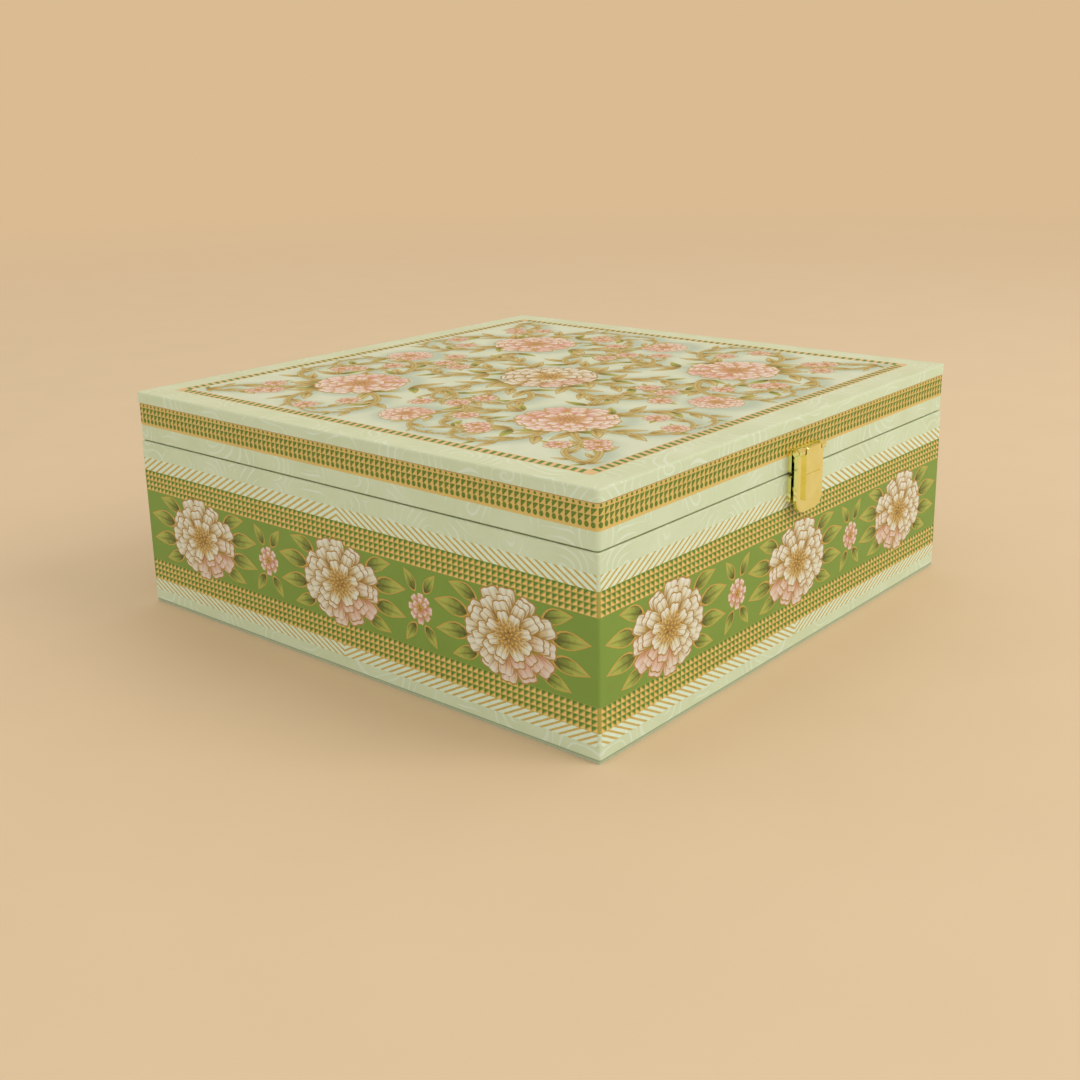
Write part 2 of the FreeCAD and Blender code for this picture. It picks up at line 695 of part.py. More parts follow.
def catch_spring():
    """A bowed strip of spring steel on the base plate, its crown in the recess behind the flap."""
    crown = f"(-{half_depth} - plate_thickness - spring_rise)"
    rounds = []
    for name, radius in (("outer", bow_radius), ("inner", f"({bow_radius} - spring_thickness)")):
        thing = doc.addObject("Part::Cylinder", f"spring_bow_{name}")
        bind(thing, Radius=radius, Height="spring_width")
        thing.Placement.Rotation = FreeCAD.Rotation(FreeCAD.Vector(0, 1, 0), 90)
        bind(
            thing,
            Placement__Base__x="-spring_width / 2",
            Placement__Base__y=f"{crown} + {bow_radius}",
            Placement__Base__z=catch_height,
        )
        rounds.append(thing)
    bow = doc.addObject("Part::Cut", "spring_bow")
    bow.Base, bow.Tool = rounds
    room = block(
        "spring_room",
        "spring_width",
        "spring_rise",
        "2 * spring_half_span",
        f"{catch_height} - spring_half_span",
        f"{crown} + spring_rise / 2",
        kept=False,
    )
    arch = doc.addObject("Part::Common", "spring_arch")
    arch.Base, arch.Tool = bow, room
    foot = block(
        "spring_foot",
        "spring_width",
        "spring_thickness",
        "spring_foot + spring_thickness",
        f"{foot_middle} - spring_foot / 2",
        f"-{half_depth} - plate_thickness - spring_thickness / 2",
        kept=False,
    )
    strip = doc.addObject("Part::Fuse", "spring_strip")
    strip.Base, strip.Tool = arch, foot
    hole = doc.addObject("Part::Cylinder", "spring_hole")
    hole.Placement.Rotation = FreeCAD.Rotation(FreeCAD.Vector(1, 0, 0), 90)
    bind(hole, Radius="rivet_radius", Height="2 * spring_thickness")
    bind(
        hole,
        Placement__Base__y=f"-{half_depth} - plate_thickness + spring_thickness / 2",
        Placement__Base__z=foot_middle,
    )
    spring = doc.addObject("Part::Cut", "catch_spring")
    spring.Label = "catch_spring"
    spring.Base, spring.Tool = strip, hole
    subparts.append(spring)


def catch_rivet():
    body = new_body("catch_rivet")
    seat = f"{half_depth} + plate_thickness + spring_thickness"
    head = sketch_on(body, "XZ_Plane", "head", up=foot_middle, out=seat)
    circle(head, "rivet_head_radius")
    pad(body, head, "rivet_head_height")
    shank = sketch_on(body, "XZ_Plane", "shank", up=foot_middle, out=seat)
    circle(shank, "rivet_radius")
    pad(body, shank, "plate_thickness + spring_thickness", against_normal=True)


def clasp():
    clasp_lid_plate()
    clasp_base_plate()
    flap()
    headed_pin(
        "latch_pin",
        "clasp_width + 2 * pin_end_play",
        "pivot_radius",
        back=f"-({half_depth} + {pivot_reach})",
        up=pivot_height,
    )
    catch_spring()
    catch_rivet()
    plate_nails("latch_lid_nails", lid_plate_middle)
    plate_nails("latch_base_nails", base_plate_middle)


def check_model():
    doc.recompute()
    for thing in doc.Objects:
        if "Invalid" in thing.State or "Error" in thing.State:
            raise RuntimeError(f"{thing.Name} failed: {thing.State}")
    for thing in subparts:
        if thing.Shape.isNull() or not thing.Shape.isValid() or not thing.Shape.Solids:
            raise RuntimeError(f"{thing.Label} has no valid solid")


def write_parts():
    os.makedirs("parts", exist_ok=True)
    for thing in subparts:
        thing.Shape.exportStep(f"parts/{thing.Label}.step")
        print(f"{thing.Label}: {len(thing.Shape.Solids)} solid(s), {thing.Shape.Volume:.2f} mm3")


fill_sheet()
base()
lid()
lid_top()
hinges()
clasp()
check_model()
write_parts()
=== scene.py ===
import json
import math
import random
from functools import partial

import bmesh
import bpy
from mathutils import Matrix, Vector, kdtree


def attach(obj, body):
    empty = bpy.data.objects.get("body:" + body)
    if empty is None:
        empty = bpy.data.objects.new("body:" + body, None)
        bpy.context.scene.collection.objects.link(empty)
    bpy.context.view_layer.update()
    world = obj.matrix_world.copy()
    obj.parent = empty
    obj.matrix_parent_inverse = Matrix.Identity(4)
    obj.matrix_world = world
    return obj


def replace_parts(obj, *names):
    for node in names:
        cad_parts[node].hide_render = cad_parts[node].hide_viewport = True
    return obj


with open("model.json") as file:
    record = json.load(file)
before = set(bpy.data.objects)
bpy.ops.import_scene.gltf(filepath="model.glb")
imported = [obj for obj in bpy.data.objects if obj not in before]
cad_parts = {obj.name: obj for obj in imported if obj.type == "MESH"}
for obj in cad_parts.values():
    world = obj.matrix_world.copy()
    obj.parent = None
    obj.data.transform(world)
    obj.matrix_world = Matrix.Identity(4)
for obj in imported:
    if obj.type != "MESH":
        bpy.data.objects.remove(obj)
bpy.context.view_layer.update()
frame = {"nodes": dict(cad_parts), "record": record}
cadNodes = frame["nodes"]
scene = bpy.context.scene
mm = 0.001
print("frame:", len(cadNodes), "nodes")


def linear(code):  # sRGB hex to linear RGBA
    parts = [int(code[at:at + 2], 16) / 255 for at in (0, 2, 4)]
    return (*(c / 12.92 if c <= 0.04045 else ((c + 0.055) / 1.055) ** 2.4 for c in parts), 1.0)


# inputs are by name or in order, and a node among them gives its first output
def addNode(tree, kind, inputs=(), ramp=None, **settings):
    node = tree.nodes.new(kind)
    for name, setting in settings.items():
        setattr(node, name, setting)
    for key, value in inputs.items() if isinstance(inputs, dict) else enumerate(inputs):
        if isinstance(value, bpy.types.Node):
            value = value.outputs[0]
        if isinstance(value, bpy.types.NodeSocket):
            tree.links.new(value, node.inputs[key])
        else:
            node.inputs[key].default_value = value
    if ramp:
        stops = node.color_ramp.elements
        while len(stops) < len(ramp):
            stops.new(1.0)
        for stop, (place, code) in zip(stops, ramp):
            stop.position = place
            stop.color = linear(code)
    return node


def newMaterial(name, **sockets):  # the material, what adds a node to it, and its coordinates
    material = bpy.data.materials.new(name)
    material.use_nodes = True
    for socket, value in sockets.items():
        material.node_tree.nodes["Principled BSDF"].inputs[socket].default_value = value
    add = partial(addNode, material.node_tree)
    return material, add, add("ShaderNodeTexCoord").outputs["Object"]


def newObject(name, data):
    item = bpy.data.objects.new(name, data)
    scene.collection.objects.link(item)
    return item


def perMetre(size):  # texture scale for a feature of this many millimetres
    return 1.0 / (size * mm)


# floor, light and camera
stage = {
    "floorSize": 24.0,
    "floorColour": "E0C49C",
    "bounceColour": "DCDBD2",  # what the floor throws back on the box: greyer, so that pale paper stays clean
    "backColour": "DABB92",
    "cloudSize": 60.0,  # millimetres
    "cloudTones": (0.97, 1.03),
    "fadeFrom": 0.5,  # metres from the box where the floor starts to fade into the background
    "fadeTo": 2.4,
    "skyLight": 0.83,
    "keyPower": 12.5,
    "keyPlace": (0.55, -1.5, 1.35),
    "keyAim": (0.0, 0.0, 0.05),
    "keySize": 1.1,
}

photoCamera = {
    "place": (-462.15, -391.64, 221.93),  # millimetres
    "azimuth": -49.38,
    "elevation": 15.53,
    "roll": -1.11,
    "lens": 45.31,
    "sensor": 36.0,
    "shift": (-0.0029, -0.0619),
    "nearest": 0.01,
}


def seenRay(add, *others):  # 1 for what is seen, straight or by the other rays, and 0 for what only sheds light
    path = add("ShaderNodeLightPath").outputs
    seen = path["Is Camera Ray"]
    for other in others:
        seen = add("ShaderNodeMath", [seen, path[other]], operation="MAXIMUM")
    return seen


def makeFloor():
    half = stage["floorSize"] / 2
    mesh = bpy.data.meshes.new("floor")
    corners = [(-half, -half, 0), (half, -half, 0), (half, half, 0), (-half, half, 0)]
    mesh.from_pydata(corners, [], [(0, 1, 2, 3)])
    floor = newObject("floor", mesh)
    # matt paper: no shine, and faint clouds
    material, add, coords = newMaterial("matt studio paper floor", Roughness=0.85)
    tree = material.node_tree
    shader = tree.nodes["Principled BSDF"]
    cloud = add("ShaderNodeTexNoise", {"Vector": coords, "Scale": perMetre(stage["cloudSize"]), "Detail": 4.0})
    dark, light = stage["cloudTones"]
    tone = add("ShaderNodeMapRange", {"Value": cloud, "To Min": dark, "To Max": light})
    paint = add("ShaderNodeVectorMath", {0: linear(stage["floorColour"])[:3], "Scale": tone}, operation="SCALE")
    seen = seenRay(add, "Is Glossy Ray")
    ground = add("ShaderNodeMix", {0: seen, 6: linear(stage["bounceColour"]), 7: paint}, data_type="RGBA")
    tree.links.new(ground.outputs[2], shader.inputs["Base Color"])
    far = add("ShaderNodeVectorMath", [coords], operation="LENGTH")
    reach = {"Value": far.outputs["Value"], "From Min": stage["fadeFrom"], "From Max": stage["fadeTo"]}
    fade = add("ShaderNodeMapRange", reach, interpolation_type="SMOOTHSTEP")
    share = add("ShaderNodeMath", [fade, seen], operation="MULTIPLY")
    glow = add("ShaderNodeEmission", {"Color": linear(stage["backColour"])})
    both = add("ShaderNodeMixShader", [share, shader, glow])
    tree.links.new(both.outputs[0], tree.nodes["Material Output"].inputs["Surface"])
    mesh.materials.append(material)


def makeWorld():
    world = bpy.data.worlds.new("studio")
    scene.world = world
    world.use_nodes = True
    tree = world.node_tree
    add = partial(addNode, tree)
    light = add("ShaderNodeBackground", {"Color": linear("FFFFFF"), "Strength": stage["skyLight"]})
    back = add("ShaderNodeBackground", {"Color": linear(stage["backColour"])})
    seen = seenRay(add, "Is Glossy Ray", "Is Transmission Ray")
    both = add("ShaderNodeMixShader", [seen, light, back])
    tree.links.new(both.outputs[0], tree.nodes["World Output"].inputs["Surface"])


def makeLamp():
    data = bpy.data.lights.new("key", "AREA")
    data.size = stage["keySize"]
    data.energy = stage["keyPower"]
    lamp = newObject("key", data)
    lamp.location = stage["keyPlace"]
    aim = Vector(stage["keyAim"]) - lamp.location
    lamp.rotation_euler = aim.to_track_quat("-Z", "Y").to_euler()


def makeCamera():
    data = bpy.data.cameras.new("camera")
    data.lens = photoCamera["lens"]
    data.sensor_width = photoCamera["sensor"]
    data.shift_x, data.shift_y = photoCamera["shift"]
    data.clip_start = photoCamera["nearest"]
    camera = newObject("camera", data)
    place = Matrix.Translation(Vector(photoCamera["place"]) * mm)
    upright = 90.0 - photoCamera["elevation"]
    for axis, angle in (("Z", photoCamera["azimuth"]), ("X", upright), ("Z", photoCamera["roll"])):
        place = place @ Matrix.Rotation(math.radians(angle), 4, axis)
    camera.matrix_world = place
    scene.camera = camera


scene.view_settings.view_transform = "Standard"
makeFloor()
makeWorld()
makeLamp()
makeCamera()
print("stage and camera")

# places shared by the papers and their print, in millimetres
bands = {
    "wall": 130.0,  # middle of the box to a side
    "baseCorner": 1.0,  # rounding of the upright corners
    "lidCorner": 2.2,
    # painted shadow: a darker band along the seam just above the foot
    "footSeamShadow": (1.2, 1.7),
    "lowStripes": (6.4, 11.5),
    "lowLattice": (11.5, 21.2),
    "field": (21.2, 53.8),
    "highLattice": (53.8, 63.2),
    "highStripes": (63.2, 69.0),
    "lidBand": (84.0, 94.0),
    "lidEdgeShadow": (93.6, 94.2),  # painted shadow: a darker line under the overhanging edge of the lid's top
}

marks = ("rim", "tip", "side", "blush")  # what petals and leaves tell their print about each point


def dress(material, paint, height, rough, spread, depth, strength=0.15):  # height gives gloss and relief
    tree = material.node_tree
    gloss = addNode(tree, "ShaderNodeMapRange",
                    {"Value": height, "To Min": rough - spread, "To Max": rough + spread})
    bump = addNode(tree, "ShaderNodeBump", {"Strength": strength, "Distance": depth * mm, "Height": height})
    for socket, source in (("Base Color", paint), ("Roughness", gloss.outputs[0]), ("Normal", bump.outputs[0])):
        tree.links.new(source, tree.nodes["Principled BSDF"].inputs[socket])
    return material


def mottle(add, coords, size, tones, detail, rough=0.5, edge=0.3):  # clouds of a dark and a light tone
    cloud = add("ShaderNodeTexNoise",
                {"Vector": coords, "Scale": perMetre(size), "Detail": detail, "Roughness": rough})
    dark, light = tones
    return cloud, add("ShaderNodeValToRGB", [cloud], ramp=[(edge, dark), (1 - edge, light)]).outputs[0]


steep = 0.7  # a face turned to an axis by more than this, a cosine, faces along it


def faceCoords(add, coords):  # flat coordinates on whichever side of the box a point is, and its height
    x, y, z = add("ShaderNodeSeparateXYZ", [coords]).outputs
    facing = add("ShaderNodeSeparateXYZ", [add("ShaderNodeNewGeometry").outputs["Normal"]]).outputs
    flat = []
    for axis, plain in ((0, x), (2, z)):  # y stands in for x on the left and right, and for z on level faces
        tilt = add("ShaderNodeMath", [facing[axis]], operation="ABSOLUTE")
        turned = add("ShaderNodeMath", [tilt, steep], operation="GREATER_THAN")
        flat.append(add("ShaderNodeMix", {0: turned, 2: plain, 3: y}))
    return add("ShaderNodeCombineXYZ", flat).outputs[0], z


scrollPaper = {  # sizes in millimetres
    "tones": ("CED4A9", "D7DDB6"),
    "cloud": 22.0,
    "roseSpacing": 27.0,  # between the middles of the scrolls
    "line": "DFE6CB",
    "linePitch": 3.7,
    "lineShare": 0.16,  # of the pitch, where a line is widest
    "lineEdge": 0.05,
    "lineCover": 0.7,
    "swellSize": 14.0,  # of the stretches where a line swells
    "swell": (0.38, 0.62),
    "sway": 9.0,
    "swaySize": 28.0,
    "bandTones": (0.88, 1.12),
    "grain": 0.35,  # a real coating's grain, some 0.05, is too fine to show, so it is drawn coarser
}


def printedPaper(name, grounds):  # grounds: ink of each band
    # satin coated paper: soft sheen, a fine grain, and scrolls printed tone on tone
    spec = scrollPaper
    material, add, coords = newMaterial(name, IOR=1.47)
    flat, z = faceCoords(add, coords)
    sway = add("ShaderNodeTexNoise", {"Vector": flat, "Scale": perMetre(spec["swaySize"]), "Detail": 1.0})
    centred = add("ShaderNodeVectorMath", [sway.outputs["Color"], (0.5, 0.5, 0.5)], operation="SUBTRACT")
    shift = add("ShaderNodeVectorMath", {0: centred, "Scale": spec["sway"] * mm * 2}, operation="SCALE")
    bent = add("ShaderNodeVectorMath", [flat, shift])
    level = add("ShaderNodeVectorMath", [bent, (1, 1, 0)], operation="MULTIPLY")
    roses = add("ShaderNodeTexVoronoi", {"Vector": level, "Scale": perMetre(spec["roseSpacing"])},
                voronoi_dimensions="2D")
    arm = add("ShaderNodeVectorMath", [level, roses.outputs["Position"]], operation="SUBTRACT")
    reach = add("ShaderNodeVectorMath", [arm], operation="LENGTH").outputs["Value"]
    parts = add("ShaderNodeSeparateXYZ", [arm]).outputs
    angle = add("ShaderNodeMath", [parts[1], parts[0]], operation="ARCTAN2")
    turns = add("ShaderNodeMath", [angle, math.tau], operation="DIVIDE")
    coil = add("ShaderNodeMath", [reach, perMetre(spec["linePitch"]), turns], operation="MULTIPLY_ADD")
    phase = add("ShaderNodeMath", [coil, 1.0, 0.0], operation="WRAP")
    off = add("ShaderNodeMath", [phase, 0.5], operation="SUBTRACT")
    near = add("ShaderNodeMath", [off], operation="ABSOLUTE")
    swell = add("ShaderNodeTexNoise", {"Vector": flat, "Scale": perMetre(spec["swellSize"]), "Detail": 0.0})
    thin, full = spec["swell"]
    width = add("ShaderNodeMapRange",
                {"Value": swell, "From Min": thin, "From Max": full, "To Max": spec["lineShare"]})
    inside = add("ShaderNodeMath", [width, near], operation="SUBTRACT")
    line = add("ShaderNodeMapRange",
               {"Value": inside, "From Max": spec["lineEdge"], "To Max": spec["lineCover"]})
    cloud, paint = mottle(add, flat, spec["cloud"], spec["tones"], detail=5.0, rough=0.6)
    paint = add("ShaderNodeMix", {0: line, 6: paint, 7: linear(spec["line"])}, data_type="RGBA").outputs[2]
    dark, light = spec["bandTones"]
    for key, ink in grounds.items():
        low, high = bands[key]
        covered = add("ShaderNodeMath", [z, (low + high) / 2 * mm, (high - low) / 2 * mm], operation="COMPARE")
        shade = add("ShaderNodeMapRange", {"Value": cloud, "To Min": dark, "To Max": light})
        tone = add("ShaderNodeVectorMath", {0: linear(ink)[:3], "Scale": shade}, operation="SCALE")
        paint = add("ShaderNodeMix", {0: covered, 6: paint, 7: tone}, data_type="RGBA").outputs[2]
    grain = add("ShaderNodeTexNoise", {"Vector": flat, "Scale": perMetre(spec["grain"]), "Detail": 2.0})
    return dress(material, paint, grain, rough=0.44, spread=0.08, depth=0.05)


def flatInk(name, light, dark, rough, speck):
    # printed ink on paper: slightly uneven cover, in specks drawn coarser than real ones so that they show
    material, add, coords = newMaterial(name)
    cover, paint = mottle(add, coords, speck, (dark, light), detail=3.0, rough=0.7, edge=0.35)
    return dress(material, paint, cover, rough, spread=0.08, depth=0.03)


halftone = {
    "speck": 2.2,  # millimetres; real screen dots are too fine to show, so it is drawn coarser
    "rim": 0.86,  # the outline starts at this share of the way out
    # what is read, from and to, and the share of ink that it gives, from and to
    "rootPlay": (0.0, 1.0, -0.22, 0.22),
    "vein": (0.25, 1.0, 0.0, 0.75),
    "veinFade": (0.35, 0.95, 1.0, 0.1),
    "blushFade": (0.2, 1.0, 0.85, 0.25),
}


def paintedInk(name, ramp, veins, veinInk, blushInk, rimInk):
    # halftone floral print: a wash from root to tip, veins, a blush on some petals and a gold outline
    material, add, coords = newMaterial(name)
    rim, tip, side, blush = [add("ShaderNodeAttribute", attribute_name=key).outputs["Fac"] for key in marks]
    noise = add("ShaderNodeTexNoise", {"Vector": coords, "Scale": perMetre(halftone["speck"]), "Detail": 3.0})
    fan = add("ShaderNodeMath", [side, veins], operation="MULTIPLY")
    wave = add("ShaderNodeMath", [fan], operation="COSINE")
    shares = {}
    for key, read in (("rootPlay", noise), ("vein", wave), ("veinFade", tip), ("blushFade", tip)):
        shares[key] = add("ShaderNodeMapRange", (read, *halftone[key]))
    root = add("ShaderNodeMath", [tip, shares["rootPlay"]])
    paint = add("ShaderNodeValToRGB", [root], ramp=ramp).outputs[0]
    lines = add("ShaderNodeMath", [shares["vein"], shares["veinFade"]], operation="MULTIPLY")
    flush = add("ShaderNodeMath", [shares["blushFade"], blush], operation="MULTIPLY")
    edge = add("ShaderNodeMath", [rim, halftone["rim"]], operation="GREATER_THAN")
    for cover, ink in ((lines, veinInk), (flush, blushInk), (edge, rimInk)):  # each over the one before
        paint = add("ShaderNodeMix", {0: cover, 6: paint, 7: linear(ink)}, data_type="RGBA").outputs[2]
    return dress(material, paint, noise, rough=0.46, spread=0.08, depth=0.03)


fieldPrint = {
    "tones": ("D2D8B6", "DADFC2"),
    "cloud": 9.0,
    "shade": "A0B29C",
    "shadeFrom": 0.05,
    "shadeCover": 0.62,
}


def shadedField():
    # pale coated paper of the lid's field: a blue-grey airbrushed shade beside the scrolls
    material, add, coords = newMaterial("shaded pale print")
    paint = mottle(add, coords, fieldPrint["cloud"], fieldPrint["tones"], detail=4.0)[1]
    near = add("ShaderNodeAttribute", attribute_name="shade").outputs["Fac"]
    cover = add("ShaderNodeMapRange",
                {"Value": near, "From Min": fieldPrint["shadeFrom"], "To Max": fieldPrint["shadeCover"]})
    paint = add("ShaderNodeMix", {0: cover, 6: paint, 7: linear(fieldPrint["shade"])}, data_type="RGBA")
    fine = perMetre(scrollPaper["grain"])
    grain = add("ShaderNodeTexNoise", {"Vector": coords, "Scale": fine, "Detail": 2.0})
    return dress(material, paint.outputs[2], grain, rough=0.46, spread=0.08, depth=0.04)


plating = {"cloud": 6.0, "lineStretch": 0.06, "roughPlay": 0.4}


def polishedMetal(name, light, dark, rough, scratch):
    # plated metal: bright and faintly clouded; polishing lines drawn coarser than real ones so that they show
    material, add, coords = newMaterial(name, Metallic=1.0)
    paint = mottle(add, coords, plating["cloud"], (dark, light), detail=3.0)[1]
    drawn = add("ShaderNodeMapping", {"Vector": coords, "Scale": (1.0, 1.0, plating["lineStretch"])})
    lines = add("ShaderNodeTexNoise", {"Vector": drawn, "Scale": perMetre(scratch), "Detail": 2.0})
    return dress(material, paint, lines, rough, spread=rough * plating["roughPlay"], depth=0.02, strength=0.08)


linen = {
    "tones": ("E0D6B4", "E6DDBC"),
    "cloud": 18.0,
    "thread": 1.1,  # millimetres; real threads are too fine to show, so they are drawn coarser
    "play": 1.2,
}


def liningPaper():
    # uncoated lining paper with a linen emboss: no shine, a faint weave
    material, add, coords = newMaterial("embossed lining paper")
    flat = faceCoords(add, coords)[0]
    threads = {"Vector": flat, "Scale": perMetre(linen["thread"]) / math.tau, "Distortion": linen["play"],
               "Detail": 1.0}
    weave = [add("ShaderNodeTexWave", threads, bands_direction=way).outputs["Fac"] for way in ("X", "Y")]
    cloth = add("ShaderNodeMath", weave)
    paint = mottle(add, flat, linen["cloud"], linen["tones"], detail=4.0)[1]
    return dress(material, paint, cloth, rough=0.74, spread=0.1, depth=0.08, strength=0.2)


def pressedBoard(name, light, dark, fibre=0.9):
    # pressed fibre board or card: no shine, short matted fibres drawn coarser than real ones so that they show
    material, add, coords = newMaterial(name)
    matted, paint = mottle(add, coords, fibre, (dark, light), detail=6.0, rough=0.75)
    return dress(material, paint, matted, rough=0.86, spread=0.08, depth=0.06, strength=0.3)


finishes = {
    "basePaper": printedPaper("printed satin paper, base", {
        # the foot band's ink is a painted shadow along the seam
        "footSeamShadow": "9CA67E", "lowLattice": "ADA046", "field": "7C9637", "highLattice": "ADA046"}),
    # the lid edge's ink is a painted shadow under the top's overhang
    "lidPaper": printedPaper("printed satin paper, lid", {"lidBand": "DDB763", "lidEdgeShadow": "B98A48"}),
    "capPaper": printedPaper("printed satin paper, lid top", {}),
    # light and dark tone, roughness, speck in millimetres
    "gold": flatInk("bright gold ink", "F2C574", "E9B964", 0.38, 1.5),
    "stripeGold": flatInk("deep gold ink", "D4B25C", "C7A24A", 0.4, 1.5),
    "borderGold": flatInk("pink gold ink", "E4BE86", "D9B074", 0.4, 1.5),
    "mint": flatInk("pale mint ink", "E3ECD0", "DAE5C5", 0.5, 2.0),
    "darkGreen": flatInk("dark green ink", "5A882A", "4C7A1F", 0.5, 1.2),
    "lidGreen": flatInk("olive green ink", "6C8424", "5C7616", 0.5, 1.2),
    "green": flatInk("leaf green ink", "638F3E", "557F34", 0.5, 1.5),
    # wash from root to tip, how closely veins stand, inks of the veins, the blush and the outline
    "petal": paintedInk(
        "cream petal print", [(0.08, "6E4E20"), (0.36, "BE9A55"), (0.64, "E0D2AE"), (0.95, "E9E4D2")],
        13.0, "86642E", "D9837A", "B0853A"),
    "stamen": paintedInk(
        "golden stamen print", [(0.1, "8A5F1C"), (0.5, "CF9F45"), (0.9, "E8C46E")],
        5.0, "9A7028", "D9837A", "B98A38"),
    "pinkPetal": paintedInk(
        "pink petal print", [(0.1, "B0685A"), (0.45, "D89C8C"), (0.75, "E8CDBA"), (0.95, "EFE4D6")],
        11.0, "B47A52", "D3736C", "C69A48"),
    "leaf": paintedInk(
        "leaf print", [(0.05, "3F3A12"), (0.3, "76822B"), (0.65, "A9AF48"), (0.95, "B8B652")],
        7.0, "5E5A1E", "C9A24A", "C79D44"),
    "vine": paintedInk(
        "gold vine print", [(0.05, "8E722E"), (0.4, "BFA556"), (0.9, "DCCB8C")],
        5.0, "7E662C", "D9837A", "AB8C44"),
    # light and dark tone, roughness, polishing lines in millimetres
    "gilt": polishedMetal("polished gilt plating", "FAFAB8", "F3F1A2", 0.15, 0.25),
    "brass": polishedMetal("polished brass", "F3EAA6", "E4D685", 0.22, 0.2),
    "steel": polishedMetal("bright spring steel", "C9C9C6", "B2B2B0", 0.28, 0.2),
    "lining": liningPaper(),
    "board": pressedBoard("pressed fibre board", "B08D62", "8C6A44"),
    "field": shadedField(),
    "card": pressedBoard("pressed card", "C6C9A6", "B2B58F"),
}

cadFinish = {  # by node or by slot
    "base_wrap": "basePaper",
    "lid_side_wrap": "lidPaper",
    "lid_top_wrap": "capPaper",
    "wood_fibre_board": "board",
    "lining_paper": "lining",
    "bottom_card": "card",
    "gilt_clasp": "gilt",
    "hinge_brass": "brass",
    "brass_nails": "brass",
    "spring_steel": "steel",
}
for row in frame["record"]["subparts"]:
    finish = cadFinish.get(row["node"]) or cadFinish[row["material_slot"]]
    cadNodes[row["node"]].data.materials.clear()
    cadNodes[row["node"]].data.materials.append(finishes[finish])
print("materials on CAD nodes")


# shapes of the print: flat plates, and raised petals and leaves with their marks
def newSheet():
    return {key: [] for key in ("points", "faces", *marks)}


def meshOf(sheet, name, onWall=False):
    mesh = bpy.data.meshes.new(name)
    mesh.from_pydata([Vector(p) * mm for p in sheet["points"]], [], sheet["faces"])
    for key in marks:
        if sheet[key]:
            mesh.attributes.new(key, "FLOAT", "POINT").data.foreach_set("value", sheet[key])
    if onWall:  # stood up, facing the front
        mesh.transform(Matrix.Rotation(math.pi / 2, 4, "X"))
    mesh.update()
    return mesh


def addSkin(sheet, rings):  # a closed skin over rings of points
    points, faces, count = sheet["points"], sheet["faces"], len(rings[0])
    first, last = len(points), len(points) + count * (len(rings) - 1)
    points += [point for ring in rings for point in ring]
    faces += [list(reversed(range(first, first + count))), list(range(last, last + count))]
    for here in range(first, last, count):
        for i in range(count):
            j = (i + 1) % count
            faces.append([here + i, here + j, here + count + j, here + count + i])


def addPlate(sheet, outline, thickness):  # on the paper, outline anticlockwise
    addSkin(sheet, [[(x, y, height) for x, y in outline] for height in (0.0, thickness)])


bladeRings = (0.4, 0.74, 0.86, 1.0)  # from the middle of a petal or leaf to its outline
vineRings = (0.5, 0.86, 1.0)  # fewer, for blades repeated many times
bladeMiddle = 0.55  # share of the length
thinnest = 0.01


# a raised petal or leaf, in rings from its middle, closed down to the paper
def addBlade(sheet, outline, size, place, lift, crown, blush=0.0, tilt=0.0, rings=bladeRings):
    length, width = size
    first, count, middle = len(sheet["points"]), len(outline), length * bladeMiddle
    rows = [(0.0, True, [(middle, 0.0)])]
    rows += [(share, True, [(middle + (p - middle) * share, q * share) for p, q in outline]) for share in rings]
    rows.append((1.0, False, outline))  # down to the paper
    for share, raised, row in rows:
        for p, q in row:
            height = max(lift + crown * (1 - share * share) + tilt * q / width, thinnest) if raised else 0.0
            spot = place @ Vector((p, q, 0.0))
            sheet["points"].append((spot.x, spot.y, height))
            for key, mark in zip(marks, (share, p / length, 2 * q / width, blush)):
                sheet[key].append(mark)
    ring = [first + 1 + count * r for r in range(len(rings) + 1)]
    for i in range(count):
        j = (i + 1) % count
        sheet["faces"].append([first, ring[0] + i, ring[0] + j])
        for inner, outer in zip(ring, ring[1:]):
            sheet["faces"].append([inner + i, outer + i, outer + j, inner + j])
    sheet["faces"].append([ring[-1] + i for i in reversed(range(count))])


petalShape = {"rootSwell": 0.45, "waves": 5}
leafBelly = 0.75  # under 1: the widest part is nearer to the root


def petalOutline(size, ruffle, points=18):
    length, width = size
    outline = []
    for i in range(points):
        turn = math.tau * i / points
        reach = 0.5 - 0.5 * math.cos(turn)
        swell = petalShape["rootSwell"] + (1 - petalShape["rootSwell"]) * reach
        wave = 1 + ruffle * math.cos(petalShape["waves"] * turn)
        outline.append((length * reach * wave, width / 2 * math.sin(turn) * swell * wave))
    return outline


def leafOutline(size, bend, points=18):
    length, width = size
    outline = []
    for i in range(points):
        turn = math.tau * i / points
        reach = 0.5 - 0.5 * math.cos(turn)
        belly = math.sin(math.pi * reach ** leafBelly)
        side = 1 if math.sin(turn) >= 0 else -1
        outline.append((length * reach, width / 2 * belly * side + bend * length * reach * (1 - reach)))
    return outline


def spun(angle, x=0.0, y=0.0):
    return Matrix.Translation((x, y, 0.0)) @ Matrix.Rotation(angle, 4, "Z")


# Geometry Nodes trees
def newTree(name, sockets):  # what adds a node to the tree, and its inputs
    tree = bpy.data.node_groups.new(name, "GeometryNodeTree")
    for label, kind in (("Geometry", "Geometry"), *sockets.items(), ("Material", "Material")):
        tree.interface.new_socket(label, in_out="INPUT", socket_type="NodeSocket" + kind)
    tree.interface.new_socket("Geometry", in_out="OUTPUT", socket_type="NodeSocketGeometry")
    return partial(addNode, tree), addNode(tree, "NodeGroupInput").outputs


def endTree(add, given, geometry):
    real = add("GeometryNodeRealizeInstances", [geometry])
    dressed = add("GeometryNodeSetMaterial", {"Geometry": real, "Material": given["Material"]})
    return add("NodeGroupOutput", [dressed]).id_data


